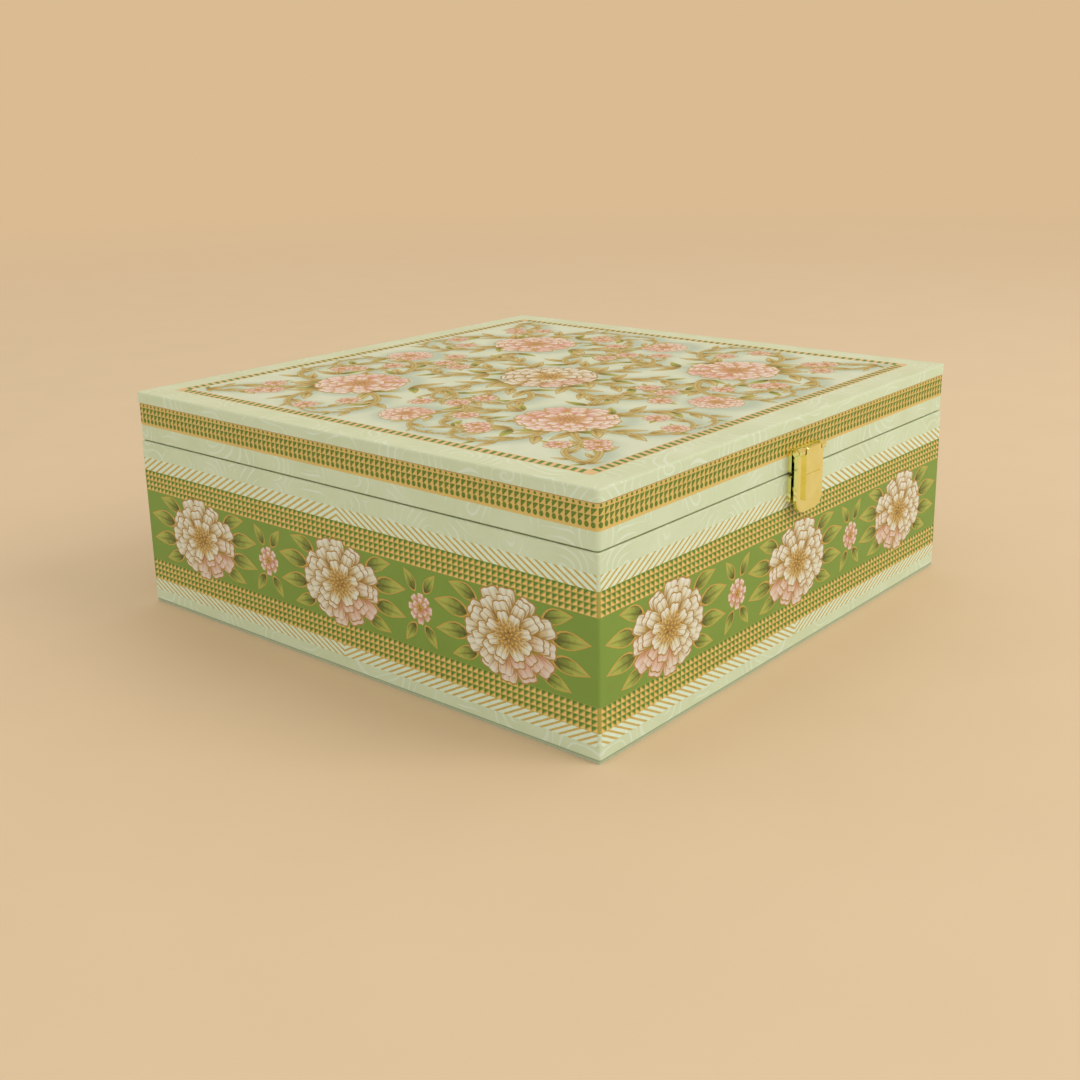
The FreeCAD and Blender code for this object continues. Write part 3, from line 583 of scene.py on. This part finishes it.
def roundCorners(add, corner):  # where points of the front lie once it is bent round its upright corners
    x, y, z = add("ShaderNodeSeparateXYZ", [add("GeometryNodeInputPosition")]).outputs
    found = {"x": x, "y": y, "corner": corner, "wall": bands["wall"] * mm}
    for name, operation, *reads in (
            ("along", "ABSOLUTE", "x"),
            ("flat", "SUBTRACT", "wall", "corner"),
            ("past", "SUBTRACT", "along", "flat"),
            ("arc", "MAXIMUM", "past", 0.0),
            ("angle", "DIVIDE", "arc", "corner"),
            ("outer", "SUBTRACT", "corner", "y"),
            ("reach", "SUBTRACT", "outer", "wall"),  # the rounding and the point's height over the wall
            ("sine", "SINE", "angle"),
            ("cosine", "COSINE", "angle"),
            ("straight", "MINIMUM", "along", "flat"),
            ("across", "MULTIPLY_ADD", "reach", "sine", "straight"),
            ("outward", "MULTIPLY_ADD", "reach", "cosine", "flat"),
            ("sign", "SIGN", "x"),
            ("newX", "MULTIPLY", "across", "sign"),
            ("newY", "MULTIPLY", "outward", -1.0)):
        found[name] = add("ShaderNodeMath", [found.get(read, read) for read in reads], operation=operation)
    return add("ShaderNodeCombineXYZ", [found["newX"], found["newY"], z])


def sidesTree():  # lays a motif out in rows on the front, and repeats that on the other three sides
    add, given = newTree("rows on four sides", {
        "Columns": "Int", "Column Step": "Vector", "Rows": "Int", "Row Step": "Vector", "First": "Vector",
        "Mirrored": "Bool", "Corner": "Float"})
    column = add("GeometryNodeMeshLine",
                 {"Count": given["Columns"], "Start Location": given["First"], "Offset": given["Column Step"]})
    row = add("GeometryNodeMeshLine", {"Count": given["Rows"], "Offset": given["Row Step"]})
    rows = add("GeometryNodeInstanceOnPoints", {"Points": row, "Instance": column})
    points = add("GeometryNodeRealizeInstances", [rows])
    motifs = add("GeometryNodeInstanceOnPoints", {"Points": points, "Instance": given["Geometry"]})
    level = add("GeometryNodeRealizeInstances", [motifs])
    front = add("GeometryNodeSetPosition", {"Geometry": level, "Position": roundCorners(add, given["Corner"])})
    mirrored = add("GeometryNodeTransform", {"Geometry": front, "Scale": (-1.0, 1.0, 1.0)})
    outward = add("GeometryNodeFlipFaces", {"Mesh": mirrored})
    beside = add("GeometryNodeSwitch", {"Switch": given["Mirrored"], "False": front, "True": outward},
                 input_type="GEOMETRY")
    left = add("GeometryNodeTransform", {"Geometry": beside, "Rotation": (0, 0, -math.pi / 2)})
    pair = add("GeometryNodeJoinGeometry")
    opposite = add("GeometryNodeTransform", {"Geometry": pair, "Rotation": (0, 0, math.pi)})
    whole = add("GeometryNodeJoinGeometry")
    for part, joint in ((front, pair), (left, pair), (pair, whole), (opposite, whole)):
        joint.id_data.links.new(part.outputs[0], joint.inputs[0])
    return endTree(add, given, whole)


def vineTree():  # repeats a blade along curves, smaller towards their ends, in line or to alternate sides
    add, given = newTree("blades along a vine", {
        "Blade": "Object", "Spacing": "Float", "Spread": "Float", "Root Size": "Float", "Tip Size": "Float",
        "Height": "Float", "Limit": "Float", "Reach": "Float"})
    along = add("GeometryNodeSplineParameter").outputs["Factor"]
    marked = add("GeometryNodeStoreNamedAttribute",
                 {"Geometry": given["Geometry"], "Name": "along", "Value": along})
    points = add("GeometryNodeCurveToPoints", {"Curve": marked, "Length": given["Spacing"]}, mode="LENGTH")
    read = add("GeometryNodeInputNamedAttribute", {"Name": "along"})
    size = add("ShaderNodeMapRange", {"Value": read, "To Min": given["Root Size"], "To Max": given["Tip Size"]})
    place = add("ShaderNodeSeparateXYZ", [add("GeometryNodeInputPosition")]).outputs
    x, y = [add("ShaderNodeMath", [place[i]], operation="ABSOLUTE") for i in (0, 1)]
    outer = add("ShaderNodeMath", [x, y], operation="MAXIMUM")
    room = add("ShaderNodeMath", [given["Limit"], outer], operation="SUBTRACT")
    fits = add("ShaderNodeMath", [room, given["Reach"]], operation="DIVIDE", use_clamp=True)
    kept = add("ShaderNodeMath", [size, fits], operation="MULTIPLY")
    ahead = add("FunctionNodeAlignRotationToVector", {"Vector": points.outputs["Tangent"]}, axis="X",
                pivot_axis="Z")
    odd = add("ShaderNodeMath", [add("GeometryNodeInputIndex"), 2.0], operation="MODULO")
    sign = add("ShaderNodeMath", [odd, 2.0, -1.0], operation="MULTIPLY_ADD")
    angle = add("ShaderNodeMath", [sign, given["Spread"]], operation="MULTIPLY")
    aside = add("FunctionNodeAxisAngleToRotation", {"Axis": (0, 0, 1), "Angle": angle})
    turn = add("FunctionNodeRotateRotation", [ahead, aside], rotation_space="LOCAL")
    blade = add("GeometryNodeObjectInfo", {"Object": given["Blade"]}).outputs["Geometry"]
    placed = add("GeometryNodeInstanceOnPoints",
                 {"Points": points, "Instance": blade, "Rotation": turn, "Scale": kept})
    lift = add("ShaderNodeCombineXYZ", {2: given["Height"]})
    return endTree(add, given, add("GeometryNodeTransform", {"Geometry": placed, "Translation": lift}))


def scatterTree():  # one motif on each point, turned and sized by the points' own marks
    add, given = newTree("motifs on points", {"Motif": "Object"})
    turn, size = [add("GeometryNodeInputNamedAttribute", {"Name": name}) for name in ("turn", "size")]
    rotation = add("FunctionNodeAxisAngleToRotation", {"Axis": (0, 0, 1), "Angle": turn})
    motif = add("GeometryNodeObjectInfo", {"Object": given["Motif"]}).outputs["Geometry"]
    return endTree(add, given, add("GeometryNodeInstanceOnPoints", {
        "Points": given["Geometry"], "Instance": motif, "Rotation": rotation, "Scale": size}))


trees = {"sides": sidesTree(), "vine": vineTree(), "scatter": scatterTree()}


def grow(name, data, tree, settings):  # runs a tree on a mesh or curve and keeps the plain mesh that it gives
    source = newObject(name + "_source", data)
    modifier = source.modifiers.new(tree.name, "NODES")
    modifier.node_group = tree
    for socket in tree.interface.items_tree:
        if socket.in_out == "INPUT" and socket.name in settings:
            modifier[socket.identifier] = settings[socket.name]
    graph = bpy.context.evaluated_depsgraph_get()
    shown = source.evaluated_get(graph)
    mesh = bpy.data.meshes.new_from_object(shown, preserve_all_data_layers=True, depsgraph=graph)
    source.modifiers.remove(modifier)
    bpy.data.objects.remove(source)
    return mesh


def addPiece(name, mesh, body):
    mesh.name = name
    piece = newObject(name, mesh)
    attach(piece, body)
    return piece


def onSides(name, sheet, body, finish, columns=1, pitch=0.0, rows=1, rowPitch=0.0, low=0.0, away=bands["wall"],
            mirrored=True, corner=0.0, onWall=True):
    settings = {
        "Columns": columns,
        "Column Step": (pitch * mm, 0.0, 0.0),
        "Rows": rows,
        "Row Step": (0.0, 0.0, rowPitch * mm),
        "First": (-(columns - 1) / 2 * pitch * mm, -away * mm, low * mm),
        "Mirrored": mirrored,
        "Corner": corner * mm,
        "Material": finishes[finish],
    }
    motif = meshOf(sheet, name + "_motif", onWall)
    addPiece(name, grow(name, motif, trees["sides"], settings), body)


lattice = {
    "rows": 4,
    "columns": 93,
    "gap": 0.16,  # between a triangle and the edge of its cell
    "leg": 0.86,  # share of the cell
    "thickness": 0.03,
    "lidTriangle": (2.15, 2.2),
    "lidTops": (89.4, 91.9),  # heights of the upper edges of the lid's triangles
    "lidBlunt": 0.43,  # their cut corners
    "lidDot": (0.58, 92.9, 1.0),  # radius, height and stretch of the dots above them
    "lidDrop": (0.95, 86.1, 1.15),  # and of the rounder drops below
    "lidShift": 0.3,  # of the dots and drops to the left, in radii
    "lidStrips": 3,  # upright strips of a lid motif, which bend round the corner
    "lidThickness": 0.05,
}


def makeLattice(name, band):
    low, high = band
    half = bands["wall"] - bands["baseCorner"] + lattice["gap"]  # as far as the roundings
    width, height = 2 * half / lattice["columns"], (high - low) / lattice["rows"]
    x, y = width / 2 - lattice["gap"], height / 2 - lattice["gap"]
    across, up = 2 * x * lattice["leg"], 2 * y * lattice["leg"]
    for ink, turn in (("gold", 1), ("darkGreen", -1)):  # gold's right angle is low and left, green's opposite
        sheet = newSheet()
        addPlate(sheet, [(turn * p, turn * q) for p, q in ((-x, -y), (across - x, -y), (-x, up - y))],
                 lattice["thickness"])
        onSides(f"{name}_{ink}", sheet, "base", ink, lattice["columns"], width, lattice["rows"], height,
                low + height / 2)


def makeLidLattice():  # right angles up and to the left on every side, and on round the corners
    wide, high = lattice["lidTriangle"]
    low, top = lattice["lidTops"]
    blunt, strips, thick = lattice["lidBlunt"], lattice["lidStrips"], lattice["lidThickness"]
    corner = bands["lidCorner"]
    pitch = 2 * (bands["wall"] - corner + corner * math.pi / 4) / lattice["columns"]  # to mid-corner
    slant = [(blunt - wide / 2 + (wide - blunt) * i / strips, (high - blunt) * i / strips - high, 0.0)
             for i in range(strips + 1)]
    # stations along a motif: place, lower and upper edge
    motifs = [("lid_lattice", [(-wide / 2, -high, 0.0)] + slant, 2, low)]
    for name, key in (("lid_dots", "lidDot"), ("lid_drops", "lidDrop")):
        radius, level, stretch = lattice[key]
        stations = []
        for i in range(strips + 1):
            turn = math.pi * (i + 0.5) / (strips + 1)
            rise = radius * stretch * math.sin(turn)
            stations.append((-radius * (math.cos(turn) + lattice["lidShift"]), -rise, rise))
        motifs.append((name, stations, 1, level))
    for name, stations, rows, level in motifs:
        sheet = newSheet()
        addSkin(sheet, [[(x, foot, 0.0), (x, head, 0.0), (x, head, thick), (x, foot, thick)]
                        for x, foot, head in stations])
        onSides(name, sheet, "lid", "lidGreen", lattice["columns"], pitch, rows, top - low, level,
                mirrored=False, corner=corner)


makeLattice("base_low_lattice", bands["lowLattice"])
makeLattice("base_high_lattice", bands["highLattice"])
makeLidLattice()
print("lattice bands")

stripes = {  # slanted, beside the lattice
    "pitch": 4.3,
    "lean": 9.5,  # along the side, from the top of a stripe to its foot
    "gold": 1.5,  # width along the side
    "mint": 2.3,
    "thickness": 0.03,
}


def clipStripe(points, low, high):  # a stripe's outline between two uprights
    for limit, keep in ((low, 1), (high, -1)):
        kept = []
        for (ax, ay), (bx, by) in zip(points, points[1:] + points[:1]):
            if (ax - limit) * keep >= 0:
                kept.append((ax, ay))
            if (ax - limit) * (bx - limit) < 0:
                share = (limit - ax) / (bx - ax)
                kept.append((limit, ay + (by - ay) * share))
        points = kept
    return points


def makeStripes(name, band, rising):  # rising: the stripes climb towards the middle of the side
    low, high = band
    pitch, lean = stripes["pitch"], stripes["lean"]
    half = bands["wall"] - bands["baseCorner"]
    before, after = int(lean / pitch) + 2, int((half + 2 * lean) / pitch)  # enough to fill the half side
    for ink, width, offset in (("stripeGold", stripes["gold"], 0.0), ("mint", stripes["mint"], pitch / 2)):
        sheet = newSheet()
        for i in range(-before, after):
            foot = i * pitch + offset
            head = foot - lean if rising else foot + lean
            ends = [(foot - width / 2, low), (foot + width / 2, low),
                    (head + width / 2, high), (head - width / 2, high)]
            outline = clipStripe(ends, 0.0, half)
            if len(outline) > 2:
                addPlate(sheet, outline, stripes["thickness"])
                addPlate(sheet, [(-x, y) for x, y in reversed(outline)], stripes["thickness"])
        onSides(f"{name}_{ink}", sheet, "base", ink)


makeStripes("base_high_stripes", bands["highStripes"], True)
makeStripes("base_low_stripes", bands["lowStripes"], False)
print("stripes")

# flowers and leaves round the base
rosette = {
    "width": 46.0,
    "height": 37.0,
    # petals, inner and outer radius as shares of the half width, petal width share, height of the ring
    "rings": [(12, 0.46, 1.0, 0.56, 0.035), (11, 0.34, 0.86, 0.50, 0.07), (10, 0.24, 0.70, 0.44, 0.12),
              (8, 0.0, 0.54, 0.38, 0.17)],
    "crown": 0.05,
    "ruffle": 0.06,
    "blush": 0.9,
    "stamens": 60,
    "stamenReach": 0.34,
    "stamenSize": (2.6, 1.3),
    "seed": 4,
}

smallRosette = {
    "width": 13.0,
    "height": 13.0,
    "rings": [(8, 0.30, 1.0, 0.72, 0.02), (6, 0.0, 0.66, 0.56, 0.09)],
    "crown": 0.05,
    "ruffle": 0.05,
    "blush": 0.5,
    "stamens": 12,
    "stamenReach": 0.26,
    "stamenSize": (1.6, 1.0),
    "seed": 9,
}

flowerPrint = {  # shared by the rosettes
    "play": (0.08, 0.08, 0.12),  # of a petal's turn in radians, and of its length and width
    "petalTilt": 0.012,  # lays one edge of a petal over the next petal
    "blushTurn": 0.6,  # the blush is low and a little to the left
    "blushRings": 3,
    "stamenTurn": 2.4,  # radians from one stamen to the next, which spreads them evenly
    "stamenLift": 0.21,
    "stamenCrown": 0.04,
}


def rosetteSheets(spec, relief=1.0, raised=0.0):  # petals, and the stamens in the middle
    petals, stamens = newSheet(), newSheet()
    draw = random.Random(spec["seed"])
    half = spec["width"] / 2
    squash = Matrix.Scale(spec["height"] / spec["width"], 4, (0, 1, 0))
    turnPlay, lengthPlay, widthPlay = flowerPrint["play"]
    for number, (count, inner, outer, share, lift) in enumerate(spec["rings"]):
        for i in range(count):
            angle = math.tau * (i + 0.5 * (number % 2)) / count + draw.uniform(-turnPlay, turnPlay)
            size = ((outer - inner) * half * draw.uniform(1 - lengthPlay, 1 + lengthPlay),
                    share * half * draw.uniform(1 - widthPlay, 1 + widthPlay))
            place = squash @ spun(angle) @ Matrix.Translation((inner * half, 0, 0))
            flush = max(0.0, -math.sin(angle + flowerPrint["blushTurn"])) ** 2 * spec["blush"]
            addBlade(petals, petalOutline(size, spec["ruffle"]), size, place, lift * relief + raised,
                     spec["crown"] * relief, flush if number < flowerPrint["blushRings"] else 0.0,
                     flowerPrint["petalTilt"] * relief)
    size = spec["stamenSize"]
    for i in range(spec["stamens"]):
        reach = spec["stamenReach"] * half * math.sqrt((i + 0.5) / spec["stamens"])
        place = squash @ spun(i * flowerPrint["stamenTurn"]) @ Matrix.Translation((reach - size[0] / 2, 0, 0))
        addBlade(stamens, petalOutline(size, 0.0, points=8), size, place,
                 flowerPrint["stamenLift"] * relief + raised, flowerPrint["stamenCrown"] * relief)
    return petals, stamens


sideFlowers = {
    "count": 3,
    "pitch": 89.5,
    "middle": 37.5,  # height of the flowers' middles
    # leaves to the right of a flower: along, up, direction in degrees, length, width
    "leaves": [(15.0, 10.4, 15.0, 15.0, 6.2), (19.0, 3.7, 6.0, 18.5, 7.2),
               (19.0, -3.9, -6.0, 18.0, 6.8), (15.0, -10.4, -15.0, 14.0, 5.8)],
    # and of a small flower between two
    "sprigs": [(2.2, 6.2, 54.0, 10.5, 5.0), (2.2, -6.2, -54.0, 10.5, 5.0)],
    "bend": 0.1,
    "lift": 0.01,
    "relief": 0.06,
}


def makeSideFlowers():
    level, pitch, count = sideFlowers["middle"], sideFlowers["pitch"], sideFlowers["count"]
    for name, number in (("leaves", count), ("sprigs", count - 1)):
        spray = newSheet()
        for sign in (1, -1):
            for along, up, direction, *size in sideFlowers[name]:
                angle = math.radians(direction if sign > 0 else 180 - direction)
                outline = leafOutline(size, sideFlowers["bend"] * sign)
                addBlade(spray, outline, size, spun(angle, sign * along, up), sideFlowers["lift"],
                         sideFlowers["relief"])
        onSides(f"base_{name}", spray, "base", "leaf", number, pitch, low=level)
    for name, spec, finish, number in (
            ("flowers", rosette, "petal", count), ("florets", smallRosette, "pinkPetal", count - 1)):
        petals, stamens = rosetteSheets(spec)
        onSides(f"base_{name}", petals, "base", finish, number, pitch, low=level)
        onSides(f"base_{name}_stamens", stamens, "base", "stamen", number, pitch, low=level)


makeSideFlowers()
print("side flowers")

# print on the lid's top
topPrint = {
    "level": 98.8,  # the cap's paper, under the print
    "cut": 98.75,  # everything above this on the CAD cap is let down by the next value
    "drop": 0.2,
    "merge": 0.001,
    "sharp": 35.0,  # degrees between faces of an edge that stays sharp
    "edge": 118.0,  # border's outer edge from the middle
    "border": 5.0,
    "dashPitch": 3.7,
    "dashLength": 1.8,
    "dashLean": 0.9,
    "dashMargin": 0.5,  # from a dash to the border's edges
    "dashEnd": 112.0,  # the last dash from the middle of a side
    "thickness": 0.02,
    "cells": 112,
    "shadeReach": 5.5,
    "shadeShift": (1.2, -2.4),
    "shadeStep": 0.2,  # radians round a flower's edge
}


def makeCap():  # the cap's paper with its top let down, so that the print is level with the CAD cap
    mesh = cadNodes["lid_top_wrap"].data.copy()
    work = bmesh.new()
    work.from_mesh(mesh)
    bmesh.ops.remove_doubles(work, verts=work.verts, dist=topPrint["merge"] * mm)
    for vertex in work.verts:
        if vertex.co.z > topPrint["cut"] * mm:
            vertex.co.z -= topPrint["drop"] * mm
    bmesh.ops.recalc_face_normals(work, faces=work.faces)
    work.to_mesh(mesh)
    work.free()
    mesh.shade_smooth()
    mesh.set_sharp_from_angle(angle=math.radians(topPrint["sharp"]))
    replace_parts(addPiece("lid_top_cap", mesh, "lid"), "lid_top_wrap")


def makeBorder():
    edge, width, level, thickness = (topPrint[key] for key in ("edge", "border", "level", "thickness"))
    inner = edge - width
    strip = newSheet()
    addPlate(strip, [(-edge, -edge), (edge, -edge), (inner, -inner), (-inner, -inner)], thickness)
    onSides("lid_top_border", strip, "lid", "borderGold", low=level, away=0.0, onWall=False)
    dash = newSheet()
    half, lean = topPrint["dashLength"] / 2, topPrint["dashLean"] / 2
    depth = width / 2 - topPrint["dashMargin"]
    addPlate(dash, [(-half - lean, -depth), (half - lean, -depth), (half + lean, depth), (-half + lean, depth)],
             thickness)
    count = int(2 * topPrint["dashEnd"] / topPrint["dashPitch"])
    onSides("lid_top_dashes", dash, "lid", "green", count + 1, 2 * topPrint["dashEnd"] / count,
            low=level + thickness, away=edge - width / 2, onWall=False)


scrolls = [  # a quarter of the lid: start, heading in degrees, length, curvature per millimetre from and to
    ((20, 2), -6, 100, (0.004, 0.052)),
    ((60, 36), -78, 96, (0.020, 0.075)),
    ((78, 66), 8, 66, (-0.020, -0.100)),
    ((66, 78), 82, 70, (0.020, 0.100)),
    ((74, 74), 45, 27, (0.0, 0.06)),
    ((44, 70), 160, 74, (-0.015, -0.095)),
    ((36, 52), 205, 52, (-0.010, -0.120)),
    ((12, 19), 66, 64, (-0.004, 0.085)),
    ((84, 52), -40, 50, (-0.010, -0.120)),
    ((28, 10), 62, 48, (-0.015, -0.150)),
    ((108, 108), 194, 40, (0.004, 0.120)),
    ((108, 108), 256, 40, (-0.004, -0.120)),
]


def scrollPoints(scroll, quarter, step=1.5):
    (x, y), bearing, length, (first, last) = scroll
    heading = math.radians(bearing)
    count = int(length / step)
    turn = spun(quarter * math.pi / 2)
    path = []
    for i in range(count + 1):
        path.append(turn @ Vector((x, y, 0.0)))
        heading += (first + (last - first) * i / count) * step
        x += math.cos(heading) * step
        y += math.sin(heading) * step
    return path


def scrollCurve(paths, level):
    data = bpy.data.curves.new("scrolls", "CURVE")
    data.dimensions = "3D"
    for path in paths:
        spline = data.splines.new("POLY")
        spline.points.add(len(path) - 1)
        for point, place in zip(spline.points, path):
            point.co = (place.x * mm, place.y * mm, level * mm, 1.0)
    return data


vinePrint = {
    "blades": {"stem": ((8.5, 3.1), 0.0), "leaf": ((16.0, 5.6), 0.1)},  # length and width, bend
    "bladeLift": 0.02,
    "bladeCrown": 0.03,
    # blade, spacing, spread in degrees, root and tip size, height, finish, and how near the border they shrink
    "vines": {
        "lid_top_leaves": ("leaf", 23.0, 62.0, (0.9, 0.6), 0.0, "leaf", 11.0),
        "lid_top_fronds": ("leaf", 7.6, 40.0, (1.0, 0.4), 0.01, "vine", 11.0),
        "lid_top_stems": ("stem", 2.6, 0.0, (1.2, 0.5), 0.03, "vine", 3.5),
    },
}


def makeScrolls(paths):
    level = topPrint["level"] + topPrint["thickness"]
    motifs = {}
    for name, (size, bend) in vinePrint["blades"].items():
        sheet = newSheet()
        addBlade(sheet, leafOutline(size, bend, points=10), size, spun(0.0), vinePrint["bladeLift"],
                 vinePrint["bladeCrown"], rings=vineRings)
        motifs[name] = newObject(name + "_blade", meshOf(sheet, name + "_blade"))
    for name, (blade, spacing, spread, sizes, height, finish, room) in vinePrint["vines"].items():
        settings = {
            "Blade": motifs[blade],
            "Spacing": spacing * mm,
            "Spread": math.radians(spread),
            "Root Size": sizes[0],
            "Tip Size": sizes[1],
            "Height": height * mm,
            "Limit": (topPrint["edge"] - topPrint["border"]) * mm,
            "Reach": room * mm,
            "Material": finishes[finish],
        }
        addPiece(name, grow(name, scrollCurve(paths, level), trees["vine"], settings), "lid")
    for motif in motifs.values():
        bpy.data.objects.remove(motif)


topRosettes = {
    "width": 44.0,
    "middle": (0.0, 0.0, 0.2, 1.06),  # place, turn in radians and size
    "around": [(60.0, 60.0, 1.0), (0.0, 90.0, 0.55)],  # place and size, in each quarter
    "aroundTurn": 0.4,
    "small": 0.92,  # the small flowers at the scrolls' ends, against those of the sides
    "smallTurn": 1.3,  # from one to the next
    "relief": 0.36,
    "raised": 0.075,  # over the scrolls
}


def scatter(name, sheet, places, finish, level):  # places: x, y, turn, size
    motif = newObject(name + "_motif", meshOf(sheet, name + "_motif"))
    points = bpy.data.meshes.new(name + "_points")
    points.from_pydata([(x * mm, y * mm, level * mm) for x, y, turn, size in places], [], [])
    for key, column in (("turn", 2), ("size", 3)):
        values = [place[column] for place in places]
        points.attributes.new(key, "FLOAT", "POINT").data.foreach_set("value", values)
    mesh = grow(name, points, trees["scatter"], {"Motif": motif, "Material": finishes[finish]})
    bpy.data.objects.remove(motif)
    addPiece(name, mesh, "lid")


def makeTopFlowers(paths):
    level, wide = topPrint["level"] + topPrint["thickness"], topRosettes["width"]
    heights = topRosettes["relief"], topRosettes["raised"]
    large = rosetteSheets(dict(rosette, width=wide, height=wide), *heights)
    small = rosetteSheets(smallRosette, *heights)
    middle, around, ends = [topRosettes["middle"]], [], []
    for x, y, size in topRosettes["around"]:
        for quarter in range(4):
            turn = quarter * math.pi / 2
            place = spun(turn) @ Vector((x, y, 0.0))
            around.append((place.x, place.y, turn + topRosettes["aroundTurn"], size))
    for i, path in enumerate(paths):  # none where a large flower is
        x, y = path[-1].xy
        if all(math.dist((x, y), spot[:2]) > wide / 2 * spot[3] for spot in around + middle):
            ends.append((x, y, i * topRosettes["smallTurn"], topRosettes["small"]))
    for name, sheet, places, finish in (
            ("flowers", large[0], around, "pinkPetal"), ("middle_flower", large[0], middle, "petal"),
            ("stamens", large[1], around + middle, "stamen"), ("florets", small[0], ends, "pinkPetal"),
            ("floret_stamens", small[1], ends, "stamen")):
        scatter("lid_top_" + name, sheet, places, finish, level)
    return around + middle


def makeField(paths, flowers):  # the pale field with a soft shade beside the scrolls
    half, cells, level = topPrint["edge"] - topPrint["border"], topPrint["cells"], topPrint["level"]
    top, row = level + topPrint["thickness"], cells + 1
    spots = [(p.x, p.y) for path in paths for p in path]
    for x, y, turn, size in flowers:
        reach = topRosettes["width"] / 2 * size
        angles = [i * topPrint["shadeStep"] for i in range(int(math.tau / topPrint["shadeStep"]) + 1)]
        spots += [(x + reach * math.cos(angle), y + reach * math.sin(angle)) for angle in angles]
    near = kdtree.KDTree(len(spots))
    across, up = topPrint["shadeShift"]
    for i, (x, y) in enumerate(spots):
        near.insert((x + across, y + up, 0.0), i)
    near.balance()
    points, shade = [], []
    for j in range(row):
        for i in range(row):
            x, y = half * (2 * i / cells - 1), half * (2 * j / cells - 1)
            gap = near.find((x, y, 0.0))[2]
            points.append((x * mm, y * mm, top * mm))
            shade.append(math.exp(-(gap / topPrint["shadeReach"]) ** 2))
    starts = [j * row + i for j in range(cells) for i in range(cells)]
    faces = [(at, at + 1, at + row + 1, at + row) for at in starts]
    rim = [*range(cells), *(j * row + cells for j in range(cells)),
           *(cells * row + cells - i for i in range(cells)), *((cells - j) * row for j in range(cells))]
    first, count = len(points), len(rim)
    points += [(points[i][0], points[i][1], level * mm) for i in rim]
    shade += [0.0] * count
    for i in range(count):
        j = (i + 1) % count
        faces.append((first + i, first + j, rim[j], rim[i]))
    faces.append([first + i for i in reversed(range(count))])
    mesh = bpy.data.meshes.new("lid_top_field")
    mesh.from_pydata(points, [], faces)
    mesh.attributes.new("shade", "FLOAT", "POINT").data.foreach_set("value", shade)
    mesh.materials.append(finishes["field"])
    addPiece("lid_top_field", mesh, "lid")


makeCap()
makeBorder()
scrollPaths = [scrollPoints(scroll, quarter) for scroll in scrolls for quarter in range(4)]
makeScrolls(scrollPaths)
makeField(scrollPaths, makeTopFlowers(scrollPaths))
print("lid top")
